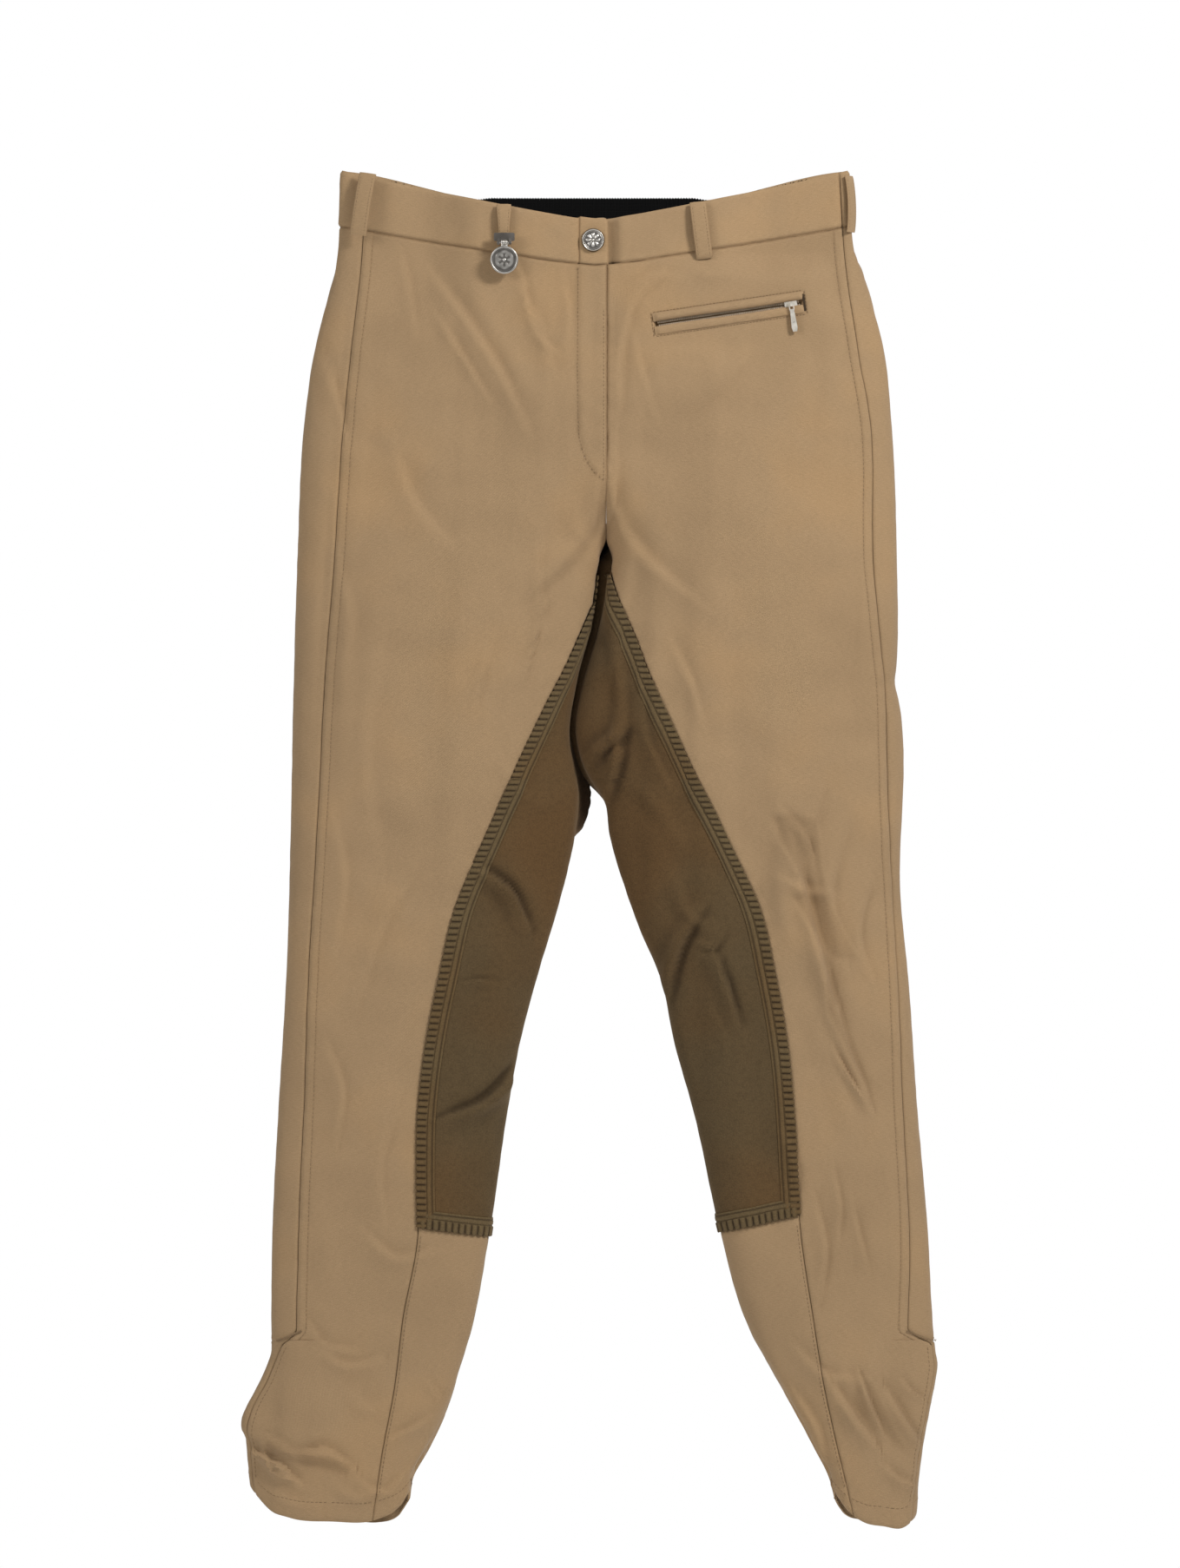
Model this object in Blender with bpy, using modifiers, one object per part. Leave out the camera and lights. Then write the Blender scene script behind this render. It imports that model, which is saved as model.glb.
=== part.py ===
"""Full-seat riding breeches, modelled open and hanging from two clips on the waistband.

Metres, +Z up, front of the garment towards -Y. The origin is the middle of the
garment's bounding box at the height of its lowest hem. right and left are the
wearer's, so right is -X. Sizes are in millimetres.

Each level of the garment is one closed section: a wide one above the crotch,
two leg sections below it. A section runs from the outer fold to the middle,
once along the front and once along the back, and the cloth panels are strips of it.
A level is a height before the sag of the waist and the lift of the hem are added.
"""
import math
from collections import namedtuple

import bmesh
import bpy
import numpy as np
from mathutils import Matrix, Vector

MM = 0.001
SIDES = ("right", "left")
FRONT, BACK = 0, 1

# ---------------------------------------------------------------- dimensions
THICKNESS = {
    "twill": 1.2,
    "suede": 1.4,
    "edging": 0.9,
    "hook": 0.8,
    "elastic": 1.1,
    "lining": 0.8,
}
BAND = 3.0            # waistband, folded and interlined
SEAM_GAP = 0.5        # half of the clearance between two panels
SLIT_GAP = 0.7        # clearance above and below the top of the ankle opening

# Levels
WAIST_TOP = 983.0
WAIST_SEAM = 942.0
YOKE_SEAM = 872.0     # bottom of the back yoke, top of the seat patch
DIP_START = 756.0     # the front and back seams start to close on the crotch
CROTCH = 700.0
HIP_FOLD = 655.0      # a leg folds forward here
KNEE = 430.0
PATCH_END = 218.0
SLIT_TOP = 136.0      # top of the ankle opening
FLAP_PIVOT = 80.0     # middle of the ankle flap's hinge
FLY_TOP = 906.0
FLY_END = 752.0

CENTRE = 12.0         # centre front seam and crotch point, along X
ROUNDNESS = 2.3       # exponent of the sections: 2 is an ellipse
FLY_LEAN = 22.0       # how far the fly fold leans to the right between its end and the waist
FOLD_X = {"right": -198.0, "left": 222.0}   # hinge line of each ankle flap

# Outlines seen from the front: (level, x)
OUTER_FOLD = {
    "right": [(0, -246), (40, -249), (62, -252), (88, -243), (112, -234), (136, -231),
              (220, -230), (300, -226), (400, -220), (500, -217), (600, -215), (700, -212),
              (800, -207), (850, -200), (880, -193), (910, -185), (942, -182), (983, -180)],
    "left": [(0, 237), (30, 239), (60, 243), (88, 248), (116, 252), (136, 250),
             (220, 245), (300, 238), (400, 231), (450, 226), (600, 224), (700, 223),
             (800, 219), (850, 214), (880, 207), (910, 198), (942, 190), (983, 187)],
}
INNER_FOLD = {
    "right": [(0, -130), (20, -128), (45, -116), (75, -104), (112, -94), (150, -84),
              (218, -72), (300, -60), (350, -51), (400, -38), (450, -23), (500, -12),
              (530, -8), (575, -13), (610, -9), (650, 1), (700, 9)],
    "left": [(0, 178), (20, 174), (45, 163), (75, 149), (112, 131), (150, 113),
             (218, 94), (300, 76), (350, 62), (400, 51), (450, 32), (500, 15),
             (530, 1), (575, -9), (610, -5), (650, 6), (700, 14)],
}
# On the front, a little in from the outer fold; below the slit, the free edge of the ankle flap
SIDE_SEAM = {
    "right": [(0, -243), (45, -247), (64, -246), (100, -232), (130, -221), (137, -213),
              (200, -212), (300, -208), (400, -204), (500, -198), (600, -193), (700, -185),
              (800, -178), (850, -173), (910, -166), (983, -162)],
    "left": [(0, 234), (60, 240), (88, 245), (116, 249), (130, 247), (140, 238),
             (200, 234), (300, 228), (400, 224), (500, 218), (600, 215), (700, 206),
             (800, 203), (850, 195), (910, 186), (983, 181)],
}
# Front edge of the suede, continued below it by the inner shin seam
PATCH_FRONT = {
    "right": [(0, -158), (50, -151), (100, -142), (150, -136), (217, -125), (300, -124),
              (350, -118), (400, -108), (450, -96), (500, -75), (550, -53), (600, -29),
              (650, -5), (700, 8)],
    "left": [(0, 192), (50, 181), (100, 171), (150, 163), (220, 153), (300, 148),
             (350, 143), (400, 134), (450, 122), (500, 99), (550, 74), (600, 51),
             (650, 28), (700, 15)],
}
# Back edge of the suede: (level, share of the way from the inner to the outer fold)
PATCH_BACK = [(0, 0.40), (218, 0.44), (300, 0.49), (450, 0.58), (600, 0.68), (700, 0.72),
              (800, 0.70), (872, 0.60), (983, 0.60)]
# Depth of the front or back from the side fold: (level, depth)
HIP_DEPTH = [(700, 34), (983, 21)]
SEAT_DEPTH = [(700, 34), (760, 38), (820, 40), (870, 36), (942, 25), (983, 21)]
LEG_DEPTH = [(0, 15), (60, 17), (136, 17), (218, 20), (320, 23), (430, 25), (560, 28),
             (655, 30), (760, 31)]
# Hem above its lowest point: (share of the way from the inner to the outer fold, height)
HEM_LIFT = {
    "right": [(0, 24), (0.08, 13), (0.2, 6), (0.5, 4.5), (0.75, 7), (0.9, 14), (1, 27)],
    "left": [(0, 24), (0.12, 14), (0.35, 4), (0.6, 1), (0.85, 0), (1, 6)],
}

SAG = (34.0, 20.0)    # how much lower the front and back of the waist hang in the middle
SAG_MIDDLE = 4.0      # x of the lowest point
SAG_HALF_WIDTH = 184.0
SAG_POWER = 1.15
SAG_START = 800.0     # level from which the sag grows up to the waist seam

CLIPS = (-139.0, 150.0)   # middle of each hanger clip on the waistband
CLIP_FLAT = 17.0      # half-width of the flat that a clip holds
CLIP_FADE = 62.0      # distance from a clip at which its pinch ends
CLIP_HALF = 6.5       # half of the depth where a clip pinches the waist
CLIP_START = 868.0    # level from which the pinch grows up to the waist seam

# Zipped pocket on the left front
POCKET_INNER_X, POCKET_INNER_Z = 48.0, 870.5
POCKET_OUTER_X, POCKET_OUTER_Z = 154.0, 886.5
POCKET_INNER_Y = -25.4
POCKET_RECESS = 6.8   # how much further back the outer end lies
POCKET_FLAT_Z = 879.5     # middle of the flat area
POCKET_FLAT_HALF = 22.0
POCKET_FADE_HALF = 44.0   # half-height at which the flat area has faded out


# ------------------------------------------------------------ section maths
def curve(table, at):
    """Smooth curve through a table, held at its ends."""
    rows = np.array(table, float)
    key, value = rows[:, 0], rows[:, 1]
    slope = np.gradient(value, key)
    at = np.clip(at, key[0], key[-1])
    i = np.clip(np.searchsorted(key, at) - 1, 0, len(key) - 2)
    step = key[i + 1] - key[i]
    t = (at - key[i]) / step
    return ((2 * t**3 - 3 * t**2 + 1) * value[i]
            + (t**3 - 2 * t**2 + t) * step * slope[i]
            + (3 * t**2 - 2 * t**3) * value[i + 1]
            + (t**3 - t**2) * step * slope[i + 1])


def smooth(low, high, at):
    """0 below low, 1 above high and an eased step between."""
    t = np.clip((np.asarray(at, float) - low) / (high - low), 0, 1)
    return t * t * (3 - 2 * t)


def lengths(line):
    """Distance of each point along a line."""
    return np.concatenate([[0], np.cumsum(np.linalg.norm(np.diff(line, axis=0), axis=1))])


def points_at(at, keys, line):
    """Points of a line at the given values of keys, one key for each of its points."""
    return np.column_stack([np.interp(at, keys, line[:, k]) for k in range(line.shape[1])])


def resample(line, count):
    along = lengths(line)
    return points_at(np.linspace(0, along[-1], count), along, line)


def half_section(middle, half, depth, turn):
    """Points (x, depth) of a superellipse from the outer fold, through an angle of turn."""
    angle = np.linspace(0, turn, 241)
    cosine, sine = np.cos(angle), np.sin(angle)
    x = middle + half * np.sign(cosine) * np.abs(cosine) ** (2 / ROUNDNESS)
    return resample(np.column_stack([x, depth * np.abs(sine) ** (2 / ROUNDNESS)]), 121)


def pocket_plane(x):
    """Y of the flat area that the zipped pocket is set in."""
    share = (x - POCKET_INNER_X) / (POCKET_OUTER_X - POCKET_INNER_X)
    return POCKET_INNER_Y + POCKET_RECESS * share


def pinch_at_clips(x, y, level, face_sign):
    """Flattens the waist to the depth of a clip near each clip."""
    held = float(smooth(CLIP_START, WAIST_SEAM, level))
    for clip in CLIPS:
        near = (1 - smooth(CLIP_FLAT, CLIP_FADE, np.abs(x - clip))) * held
        y = y * (1 - near) + face_sign * CLIP_HALF * near
    return y


def flatten_at_pocket(x, y, z):
    inside = (smooth(POCKET_INNER_X - 34, POCKET_INNER_X - 5, x)
              * (1 - smooth(POCKET_OUTER_X + 5, POCKET_OUTER_X + 24, x))
              * (1 - smooth(POCKET_FLAT_HALF, POCKET_FADE_HALF, np.abs(z - POCKET_FLAT_Z))))
    return y * (1 - inside) + pocket_plane(x) * inside


def ring(side, level):
    """Front and back lines (x, y, z) of one side, from the outer fold to the middle."""
    outer = float(curve(OUTER_FOLD[side], level))
    inner = float(curve(INNER_FOLD[side], min(level, CROTCH)))
    leg = half_section((outer + inner) / 2, (outer - inner) / 2,
                       float(curve(LEG_DEPTH, level)), math.pi)
    leg_part = float(1 - smooth(CROTCH, DIP_START, level))
    lines = []
    for face, depths in ((FRONT, HIP_DEPTH), (BACK, SEAT_DEPTH)):
        face_sign = -1 if face == FRONT else 1
        wide = half_section(CENTRE, outer - CENTRE, float(curve(depths, level)), math.pi / 2)
        plan = wide * (1 - leg_part) + leg * leg_part
        x, y = plan[:, 0].copy(), face_sign * plan[:, 1]
        y = pinch_at_clips(x, y, level, face_sign)
        dip = np.clip(1 - (np.abs(x - SAG_MIDDLE) / SAG_HALF_WIDTH) ** SAG_POWER, 0, 1)
        z = level - SAG[face] * dip * smooth(SAG_START, WAIST_SEAM, level)
        if face == FRONT and side == "left":
            y = flatten_at_pocket(x, y, z)
        if level < SLIT_TOP:
            share = np.clip((x - inner) / (outer - inner), 0, 1)
            z = z + curve(HEM_LIFT[side], share) * (1 - level / SLIT_TOP)
        lines.append(np.column_stack([x, y, z]))
    return lines


def part_of(line, start, end):
    """The stretch of a line between two distances along it."""
    along = lengths(line)
    start, end = max(start, 0.0), min(end, along[-1])
    inside = (along > start + 1e-6) & (along < end - 1e-6)
    return points_at(np.concatenate([[start], along[inside], [end]]), along, line)


def distance_to_x(line, side, x):
    sign = 1 if side == "right" else -1
    return float(np.interp(sign * x, sign * line[:, 0], lengths(line)))


# The two lines of a ring, and distances along them: side_seam and patch_front along
# the front line, patch_back and back_end along the back line
Marks = namedtuple("Marks", "front back side_seam patch_front patch_back back_end")


def marks(side, level):
    front, back = ring(side, level)
    front_end = lengths(front)[-1]
    side_seam = distance_to_x(front, side, float(curve(SIDE_SEAM[side], level)))
    if level < CROTCH:
        patch_x = float(curve(PATCH_FRONT[side], level))
        patch_front = min(distance_to_x(front, side, patch_x), front_end - 5.0)
    elif level > DIP_START:
        patch_front = front_end
    else:
        patch_front = front_end - 4.5 * float(1 - smooth(CROTCH, DIP_START, level))
    outer, inner = front[0, 0], front[-1, 0]
    patch_back_x = inner + float(curve(PATCH_BACK, level)) * (outer - inner)
    patch_back = distance_to_x(back, side, patch_back_x)
    return Marks(front, back, side_seam, patch_front, patch_back, lengths(back)[-1])


def shift(line, amount):
    """A line moved inwards, square to itself in plan."""
    along = np.gradient(line[:, :2], axis=0)
    square = np.column_stack([-along[:, 1], along[:, 0]])
    square /= np.maximum(np.linalg.norm(square, axis=1, keepdims=True), 1e-9)
    middle = line[:, :2].mean(axis=0) * [1, 0]
    if (square * (line[:, :2] - middle)).sum() > 0:
        square = -square
    moved = line.copy()
    moved[:, :2] += square * amount
    return moved


def front_point(side, x, z):
    """The point of the front surface at x and z, found by correcting the level."""
    level = z
    for _ in range(12):
        line = ring(side, level)[FRONT]
        at = distance_to_x(line, side, x)
        found = part_of(line, at, at + 0.01)[0]
        level += z - found[2]
    return found


def whole_line(level, face):
    """The front or back line at a level, from the right fold to the left fold."""
    return np.vstack([ring("right", level)[face], ring("left", level)[face][::-1][1:]])


def point_on(line, x):
    return Vector([float(np.interp(x, line[:, 0], line[:, k])) for k in range(3)])


# ------------------------------------------------- strips of the cloth panels
def crotch_gap(level):
    """Extra clearance where the sections turn sharply round the inside of the leg."""
    return 1.1 * float(smooth(600, 670, level)) * (1 - float(smooth(715, 740, level)))


def fly_fold_x(level):
    return CENTRE - FLY_LEAN * (level - FLY_END) / (WAIST_SEAM - FLY_END)


def strip_front(side, level):
    at = marks(side, level)
    start = at.side_seam
    if level < SLIT_TOP:
        start = distance_to_x(at.front, side, FOLD_X[side])
    return part_of(at.front, start + SEAM_GAP, at.patch_front - SEAM_GAP - crotch_gap(level))


def strip_front_right_hip(side, level):
    """The right front stops at the slanting fold line of the fly flap."""
    at = marks(side, level)
    stop = at.patch_front - SEAM_GAP - crotch_gap(level)
    if level > FLY_END:
        stop = min(stop, distance_to_x(at.front, side, fly_fold_x(level)) - SEAM_GAP)
    return part_of(at.front, at.side_seam + SEAM_GAP, stop)


def strip_fly_flap(side, level):
    front = ring(side, level)[FRONT]
    start = distance_to_x(front, side, fly_fold_x(level)) + SEAM_GAP
    stop = lengths(front)[-1] - SEAM_GAP
    return part_of(front, min(start, stop - 1.0), stop)


def round_fold(at, back_stop, front_stop):
    """From back_stop on the back line, round the outer fold, to front_stop on the front."""
    return np.vstack([part_of(at.back, 0, back_stop)[::-1], part_of(at.front, 0, front_stop)[1:]])


def strip_back(side, level):
    at = marks(side, level)
    gap = SEAM_GAP if level > SLIT_TOP else 1.2
    return round_fold(at, at.patch_back - SEAM_GAP, at.side_seam - gap)


def strip_yoke(side, level):
    at = marks(side, level)
    return round_fold(at, at.back_end - SEAM_GAP, at.side_seam - SEAM_GAP)


def strip_patch(side, level):
    """The seat half above the crotch, round the inside of the leg below it."""
    at = marks(side, level)
    start = at.patch_back + SEAM_GAP
    if level >= CROTCH:
        closing = 4.0 * float(1 - smooth(CROTCH, DIP_START, level))
        return part_of(at.back, start, at.back_end - max(SEAM_GAP, closing))[::-1]
    return np.vstack([part_of(at.front, at.patch_front + SEAM_GAP, math.inf),
                      part_of(at.back, start, math.inf)[::-1][1:]])


def strip_edging(side, level):
    at = marks(side, level)
    return shift(part_of(at.front, at.patch_front - 1.0, at.patch_front + 10.5), -0.5)


def strip_flap(side, level):
    at = marks(side, level)
    fold = distance_to_x(at.front, side, FOLD_X[side])
    return part_of(at.front, at.side_seam + 1.6, fold - SEAM_GAP)


def strip_under(inset, margin):
    """A strip behind the ankle flap, inset from its face and margin in from its edges."""
    def strip(side, level):
        at = marks(side, level)
        fold = distance_to_x(at.front, side, FOLD_X[side])
        return shift(part_of(at.front, at.side_seam + margin, fold - margin), inset)
    return strip


# ---------------------------------------------------------------------- scene
for old in list(bpy.data.objects):
    bpy.data.objects.remove(old, do_unlink=True)

garment = bpy.data.collections.new("riding_breeches")
cutters = bpy.data.collections.new("cutters")
bpy.context.scene.collection.children.link(garment)
bpy.context.scene.collection.children.link(cutters)
cutters.hide_render = True

LOOKS = {
    "twill": dict(colour=(0.36, 0.24, 0.13), roughness=0.85, metallic=0.0),
    "suede": dict(colour=(0.10, 0.062, 0.027), roughness=0.95, metallic=0.0),
    "edging": dict(colour=(0.12, 0.08, 0.036), roughness=0.9, metallic=0.0),
    "elastic": dict(colour=(0.006, 0.006, 0.008), roughness=0.8, metallic=0.0),
    "tape": dict(colour=(0.33, 0.22, 0.12), roughness=0.8, metallic=0.0),
    "metal": dict(colour=(0.55, 0.54, 0.5), roughness=0.32, metallic=1.0),
    "lining": dict(colour=(0.62, 0.55, 0.44), roughness=0.9, metallic=0.0),
    "hook": dict(colour=(0.42, 0.31, 0.2), roughness=0.95, metallic=0.0),
}


def make_material(name, colour, roughness, metallic):
    material = bpy.data.materials.new(name)
    material.use_nodes = True
    shader = material.node_tree.nodes["Principled BSDF"]
    shader.inputs["Base Color"].default_value = (*colour, 1)
    shader.inputs["Roughness"].default_value = roughness
    shader.inputs["Metallic"].default_value = metallic
    return material


# World position in metres of each pivot, by name
PIVOT_WORLD = {}


def pivot(name, at, parent=None):
    """An empty on a joint's axis."""
    empty = bpy.data.objects.new(name, None)
    empty.empty_display_size = 0.02
    garment.objects.link(empty)
    place = Vector(at) * MM
    empty.parent = parent
    empty.location = place - (PIVOT_WORLD[parent.name] if parent else Vector())
    PIVOT_WORLD[name] = place
    return empty


def hang_on(obj, hang):
    """Parents an object to a pivot, its mesh kept where it is in the world."""
    if hang is not None:
        obj.data.transform(Matrix.Translation(-PIVOT_WORLD[hang.name]))
        obj.parent = hang


def finish(name, mesh, look, hang=None):
    """Makes the named object, with its own material, hung on the pivot of its joint."""
    mesh.materials.append(make_material(name + "_" + look, **LOOKS[look]))
    obj = bpy.data.objects.new(name, mesh)
    garment.objects.link(obj)
    hang_on(obj, hang)
    for face in mesh.polygons:
        face.use_smooth = True
    mesh.set_sharp_from_angle(angle=math.radians(40))
    return obj


# ----------------------------------------------------------------- cloth tools
def grid_mesh(name, rows):
    """A grid whose rows are the given lists of points."""
    rows = np.array(rows)
    row_steps, column_steps = rows.shape[0] - 1, rows.shape[1] - 1
    bm = bmesh.new()
    bmesh.ops.create_grid(bm, x_segments=column_steps, y_segments=row_steps, size=0.5)
    for vert in bm.verts:
        i = round((vert.co.y + 0.5) * row_steps)
        j = round((vert.co.x + 0.5) * column_steps)
        vert.co = Vector(rows[i, j]) * MM
    mesh = bpy.data.meshes.new(name)
    bm.normal_update()
    bm.to_mesh(mesh)
    bm.free()
    return mesh


def face_out(mesh, middle):
    """Turns the faces so that they look away from the middle line x = middle, y = 0."""
    total = 0.0
    for face in mesh.polygons:
        away = Vector((face.center.x - middle * MM, face.center.y * 4, 0))
        total += face.normal.dot(away) * face.area
    if total < 0:
        mesh.flip_normals()


def cloth(name, mesh, look, hang=None, offset=-1.0, thickness=None):
    """A solid piece of cloth; offset -1 thickens it behind its faces, 1 in front of them."""
    obj = finish(name, mesh, look, hang)
    solidify = obj.modifiers.new("thickness", "SOLIDIFY")
    solidify.thickness = (thickness or THICKNESS[look]) * MM
    solidify.offset = offset
    solidify.use_even_offset = False
    return obj


def outward_cloth(name, rows, look, hang=None, thickness=None):
    """Cloth from rows of points, faced away from the middle of the garment."""
    mesh = grid_mesh(name, rows)
    face_out(mesh, CENTRE)
    return cloth(name, mesh, look, hang, thickness=thickness)


def sheet(name, side, strip, heights, columns, look, hang=None, offset=-1.0):
    """A cloth panel: one strip of the section at each level, made solid."""
    mesh = grid_mesh(name, [resample(strip(side, level), columns + 1) for level in heights])
    mean = float(np.mean(heights))
    outer = float(curve(OUTER_FOLD[side], mean))
    on_leg = min(heights) < CROTCH - 60
    inner = float(curve(INNER_FOLD[side], mean)) if on_leg else CENTRE
    face_out(mesh, (outer + inner) / 2)
    return cloth(name, mesh, look, hang, offset)


def between(high, low, steps):
    """Levels from high to low, a seam gap in from each."""
    return list(np.linspace(high - SEAM_GAP, low + SEAM_GAP, steps + 1))


# ------------------------------------------------------------ pivots of the legs
LEG_AXIS_Y = -32.0
KNEE_AXIS_Y = 27.0

leg_axis, knee_axis, flap_axis = {}, {}, {}
for side in SIDES:
    leg_x = float(curve(OUTER_FOLD[side], HIP_FOLD)) / 2
    leg_axis[side] = pivot("leg_axis_" + side, (leg_x, LEG_AXIS_Y, HIP_FOLD))
    knee_x = (float(curve(OUTER_FOLD[side], KNEE)) + float(curve(INNER_FOLD[side], KNEE))) / 2
    knee_axis[side] = pivot("knee_axis_" + side, (knee_x, KNEE_AXIS_Y, KNEE), leg_axis[side])
    fold_y = front_point(side, FOLD_X[side], FLAP_PIVOT)[1]
    flap_axis[side] = pivot("ankle_flap_axis_" + side,
                            (FOLD_X[side], fold_y - 0.4, FLAP_PIVOT), knee_axis[side])

# ---------------------------------------------------------- cloth of the legs
# Levels shared by the pieces that meet at the crotch, on the seat and round the slit
CROTCH_ROWS = [728.0, 712.0, 703.0, 697.0, 685.0, 668.0, HIP_FOLD + SEAM_GAP]
SEAT_ROWS = [YOKE_SEAM - SEAM_GAP, 842.0, 812.0, 782.0, DIP_START]
ANKLE_ROWS = [SLIT_TOP - SLIT_GAP, 128.0, 112.0, 92.0, 70.0, 48.0, 24.0, SEAM_GAP]
SHIN_ROWS = list(np.linspace(KNEE - SEAM_GAP, SLIT_TOP + SLIT_GAP, 6)) + ANKLE_ROWS
RIGHT_HIP_ROWS = [WAIST_SEAM - SEAM_GAP, 920.0, 895.0, 870.0, 845.0, 815.0, 785.0, 766.0,
                  FLY_END + 0.6] + CROTCH_ROWS
LEFT_HIP_ROWS = [WAIST_SEAM - SEAM_GAP, 934.0, 925.0, 916.0, 907.0, 898.0, 889.0, 880.0,
                 871.0, 862.0, 850.0, 820.0, 786.0, 752.0] + CROTCH_ROWS
# Columns of the left front hip, as shares of its width from the middle to the side
LEFT_HIP_COLUMNS = np.array([0, 0.09, 0.18, 0.28, 0.48, 0.67, 0.82, 0.90, 1.0])


def front_hip_left():
    """Columns stand at fixed shares, so that the flat area round the pocket stays flat."""
    rows = []
    for level in LEFT_HIP_ROWS:
        line = strip_front("left", level)[::-1]
        first, last = line[0, 0], line[-1, 0]
        rows.append(points_at(first + LEFT_HIP_COLUMNS * (last - first), line[:, 0], line))
    return outward_cloth("front_hip_left", rows, "twill")


def hip_panels(side):
    back_rows = SEAT_ROWS + CROTCH_ROWS[0:3:2] + CROTCH_ROWS[4:]
    sheet("back_yoke_" + side, side, strip_yoke, between(WAIST_SEAM, YOKE_SEAM, 3), 12, "twill")
    sheet("back_hip_" + side, side, strip_back, back_rows, 8, "twill")
    sheet("seat_patch_" + side, side, strip_patch, SEAT_ROWS + CROTCH_ROWS, 10, "suede")


def thigh_panels(side):
    hang = leg_axis[side]
    rows = between(HIP_FOLD, KNEE, 6)
    sheet("front_thigh_" + side, side, strip_front, rows, 6, "twill", hang)
    sheet("back_thigh_" + side, side, strip_back, rows, 8, "twill", hang)
    sheet("patch_thigh_" + side, side, strip_patch, between(HIP_FOLD, KNEE, 7), 11, "suede", hang)
    sheet("edging_thigh_" + side, side, strip_edging, between(HIP_FOLD - 14, KNEE, 8), 2,
          "edging", hang, offset=1.0)


def shin_panels(side):
    hang = knee_axis[side]
    sheet("front_shin_" + side, side, strip_front, SHIN_ROWS, 5, "twill", hang)
    sheet("back_shin_" + side, side, strip_back, SHIN_ROWS, 9, "twill", hang)
    sheet("patch_knee_" + side, side, strip_patch, between(KNEE, PATCH_END, 5), 11, "suede", hang)
    sheet("inner_calf_" + side, side, strip_patch, between(PATCH_END, 0.0, 6), 10, "twill", hang)
    sheet("edging_knee_" + side, side, strip_edging, between(KNEE, PATCH_END, 6), 2,
          "edging", hang, offset=1.0)


def ankle_closure(side):
    """A flap of the front over a loop-faced underlap."""
    flap, shin = flap_axis[side], knee_axis[side]
    strip_rows = ANKLE_ROWS[2:6]
    sheet("ankle_flap_" + side, side, strip_flap, ANKLE_ROWS, 5, "twill", flap)
    sheet("hook_strip_" + side, side, strip_under(1.9, 8.0), strip_rows, 4, "hook", flap)
    sheet("loop_strip_" + side, side, strip_under(3.2, 8.0), strip_rows, 4, "hook", shin)
    sheet("ankle_underlap_" + side, side, strip_under(4.5, 4.0), ANKLE_ROWS[1:7], 4,
          "twill", shin)


sheet("front_hip_right", "right", strip_front_right_hip, RIGHT_HIP_ROWS, 8, "twill")
left_hip = front_hip_left()
for side in SIDES:
    hip_panels(side)
    thigh_panels(side)
    shin_panels(side)
    ankle_closure(side)

# ------------------------------------------------------------------ waistband
BAND_ROWS = (WAIST_TOP, WAIST_SEAM + SEAM_GAP)
TAB_END = 15.5        # the right band laps over the left one up to here
LAP_INSET = 4.0       # how far the lapped end of the left band lies behind the right one
LAP_INNER, LAP_OUTER = 18.0, 27.0   # the left band steps forward between these x
clip_flats = [(clip - CLIP_FLAT + 0.5, clip + CLIP_FLAT - 0.5) for clip in CLIPS]
# x of the columns of each front band
RIGHT_BAND_X = [-160.6, *clip_flats[0], -104.0, -84.0, -60.0, -36.0, -12.0, 4.0, TAB_END]
LEFT_BAND_X = [-5.0, LAP_INNER, LAP_OUTER, 45.0, 65.0, 85.0, 108.0, *clip_flats[1], 172.5, 178.0]
BACK_BAND_GAP = 2.0   # clearance at the side seams
ELASTIC_POINTS = 42   # points round the back, some of which the elastic keeps


def front_band(name, places, lapped_inset):
    """A front band with columns at fixed x; its lapped end is moved back by lapped_inset."""
    rows = []
    for level in BAND_ROWS:
        line = whole_line(level, FRONT)
        row = points_at(places, line[:, 0], line)
        row[:, 1] += [lapped_inset * (1 - float(smooth(LAP_INNER, LAP_OUTER, x))) for x in places]
        rows.append(row)
    return outward_cloth(name, rows, "twill", thickness=BAND)


def back_band_line(level):
    """Round the back of the waist, from one side seam to the other."""
    ends = []
    for side in SIDES:
        at = marks(side, level)
        front_end = part_of(at.front, 0, at.side_seam - BACK_BAND_GAP)
        ends.append(np.vstack([front_end[::-1], at.back[1:]]))
    return np.vstack([ends[0], ends[1][::-1][1:]])


def waist_elastic():
    """A band inside the back of the waistband."""
    upper, lower = (resample(back_band_line(level), ELASTIC_POINTS) for level in BAND_ROWS)
    keep = [k for k in range(ELASTIC_POINTS) if -146 < upper[k, 0] < 158 and upper[k, 1] > 3]
    upper, lower = (shift(line, BAND + 0.8)[keep] for line in (upper, lower))
    rows = [upper + (lower - upper) * share for share in (0.05, 0.92)]
    outward_cloth("waist_elastic", rows, "elastic")


band_right = front_band("waistband_front_right", RIGHT_BAND_X, 0.0)
band_left = front_band("waistband_front_left", LEFT_BAND_X, LAP_INSET)
outward_cloth("waistband_back", [resample(back_band_line(level), 41) for level in BAND_ROWS],
              "twill", thickness=BAND)
waist_elastic()


# ----------------------------------------------------------------- belt loops
def belt_loop(name, top, bottom, out, across, width=10.5, rise=3.6):
    """A bowed strip from top to bottom, standing out by rise in its middle."""
    out, across = Vector(out).normalized(), Vector(across).normalized()
    rows = []
    for share in np.linspace(0, 1, 8):
        share = float(share)
        bow = 0.7 + rise * math.sin(math.pi * share) ** 0.6
        at = Vector(top).lerp(Vector(bottom), share) + out * bow
        rows.append([at - across * width / 2, at, at + across * width / 2])
    mesh = grid_mesh(name, rows)
    if mesh.polygons[0].normal.dot(out) < 0:
        mesh.flip_normals()
    cloth(name, mesh, "twill", offset=1.0)


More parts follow.
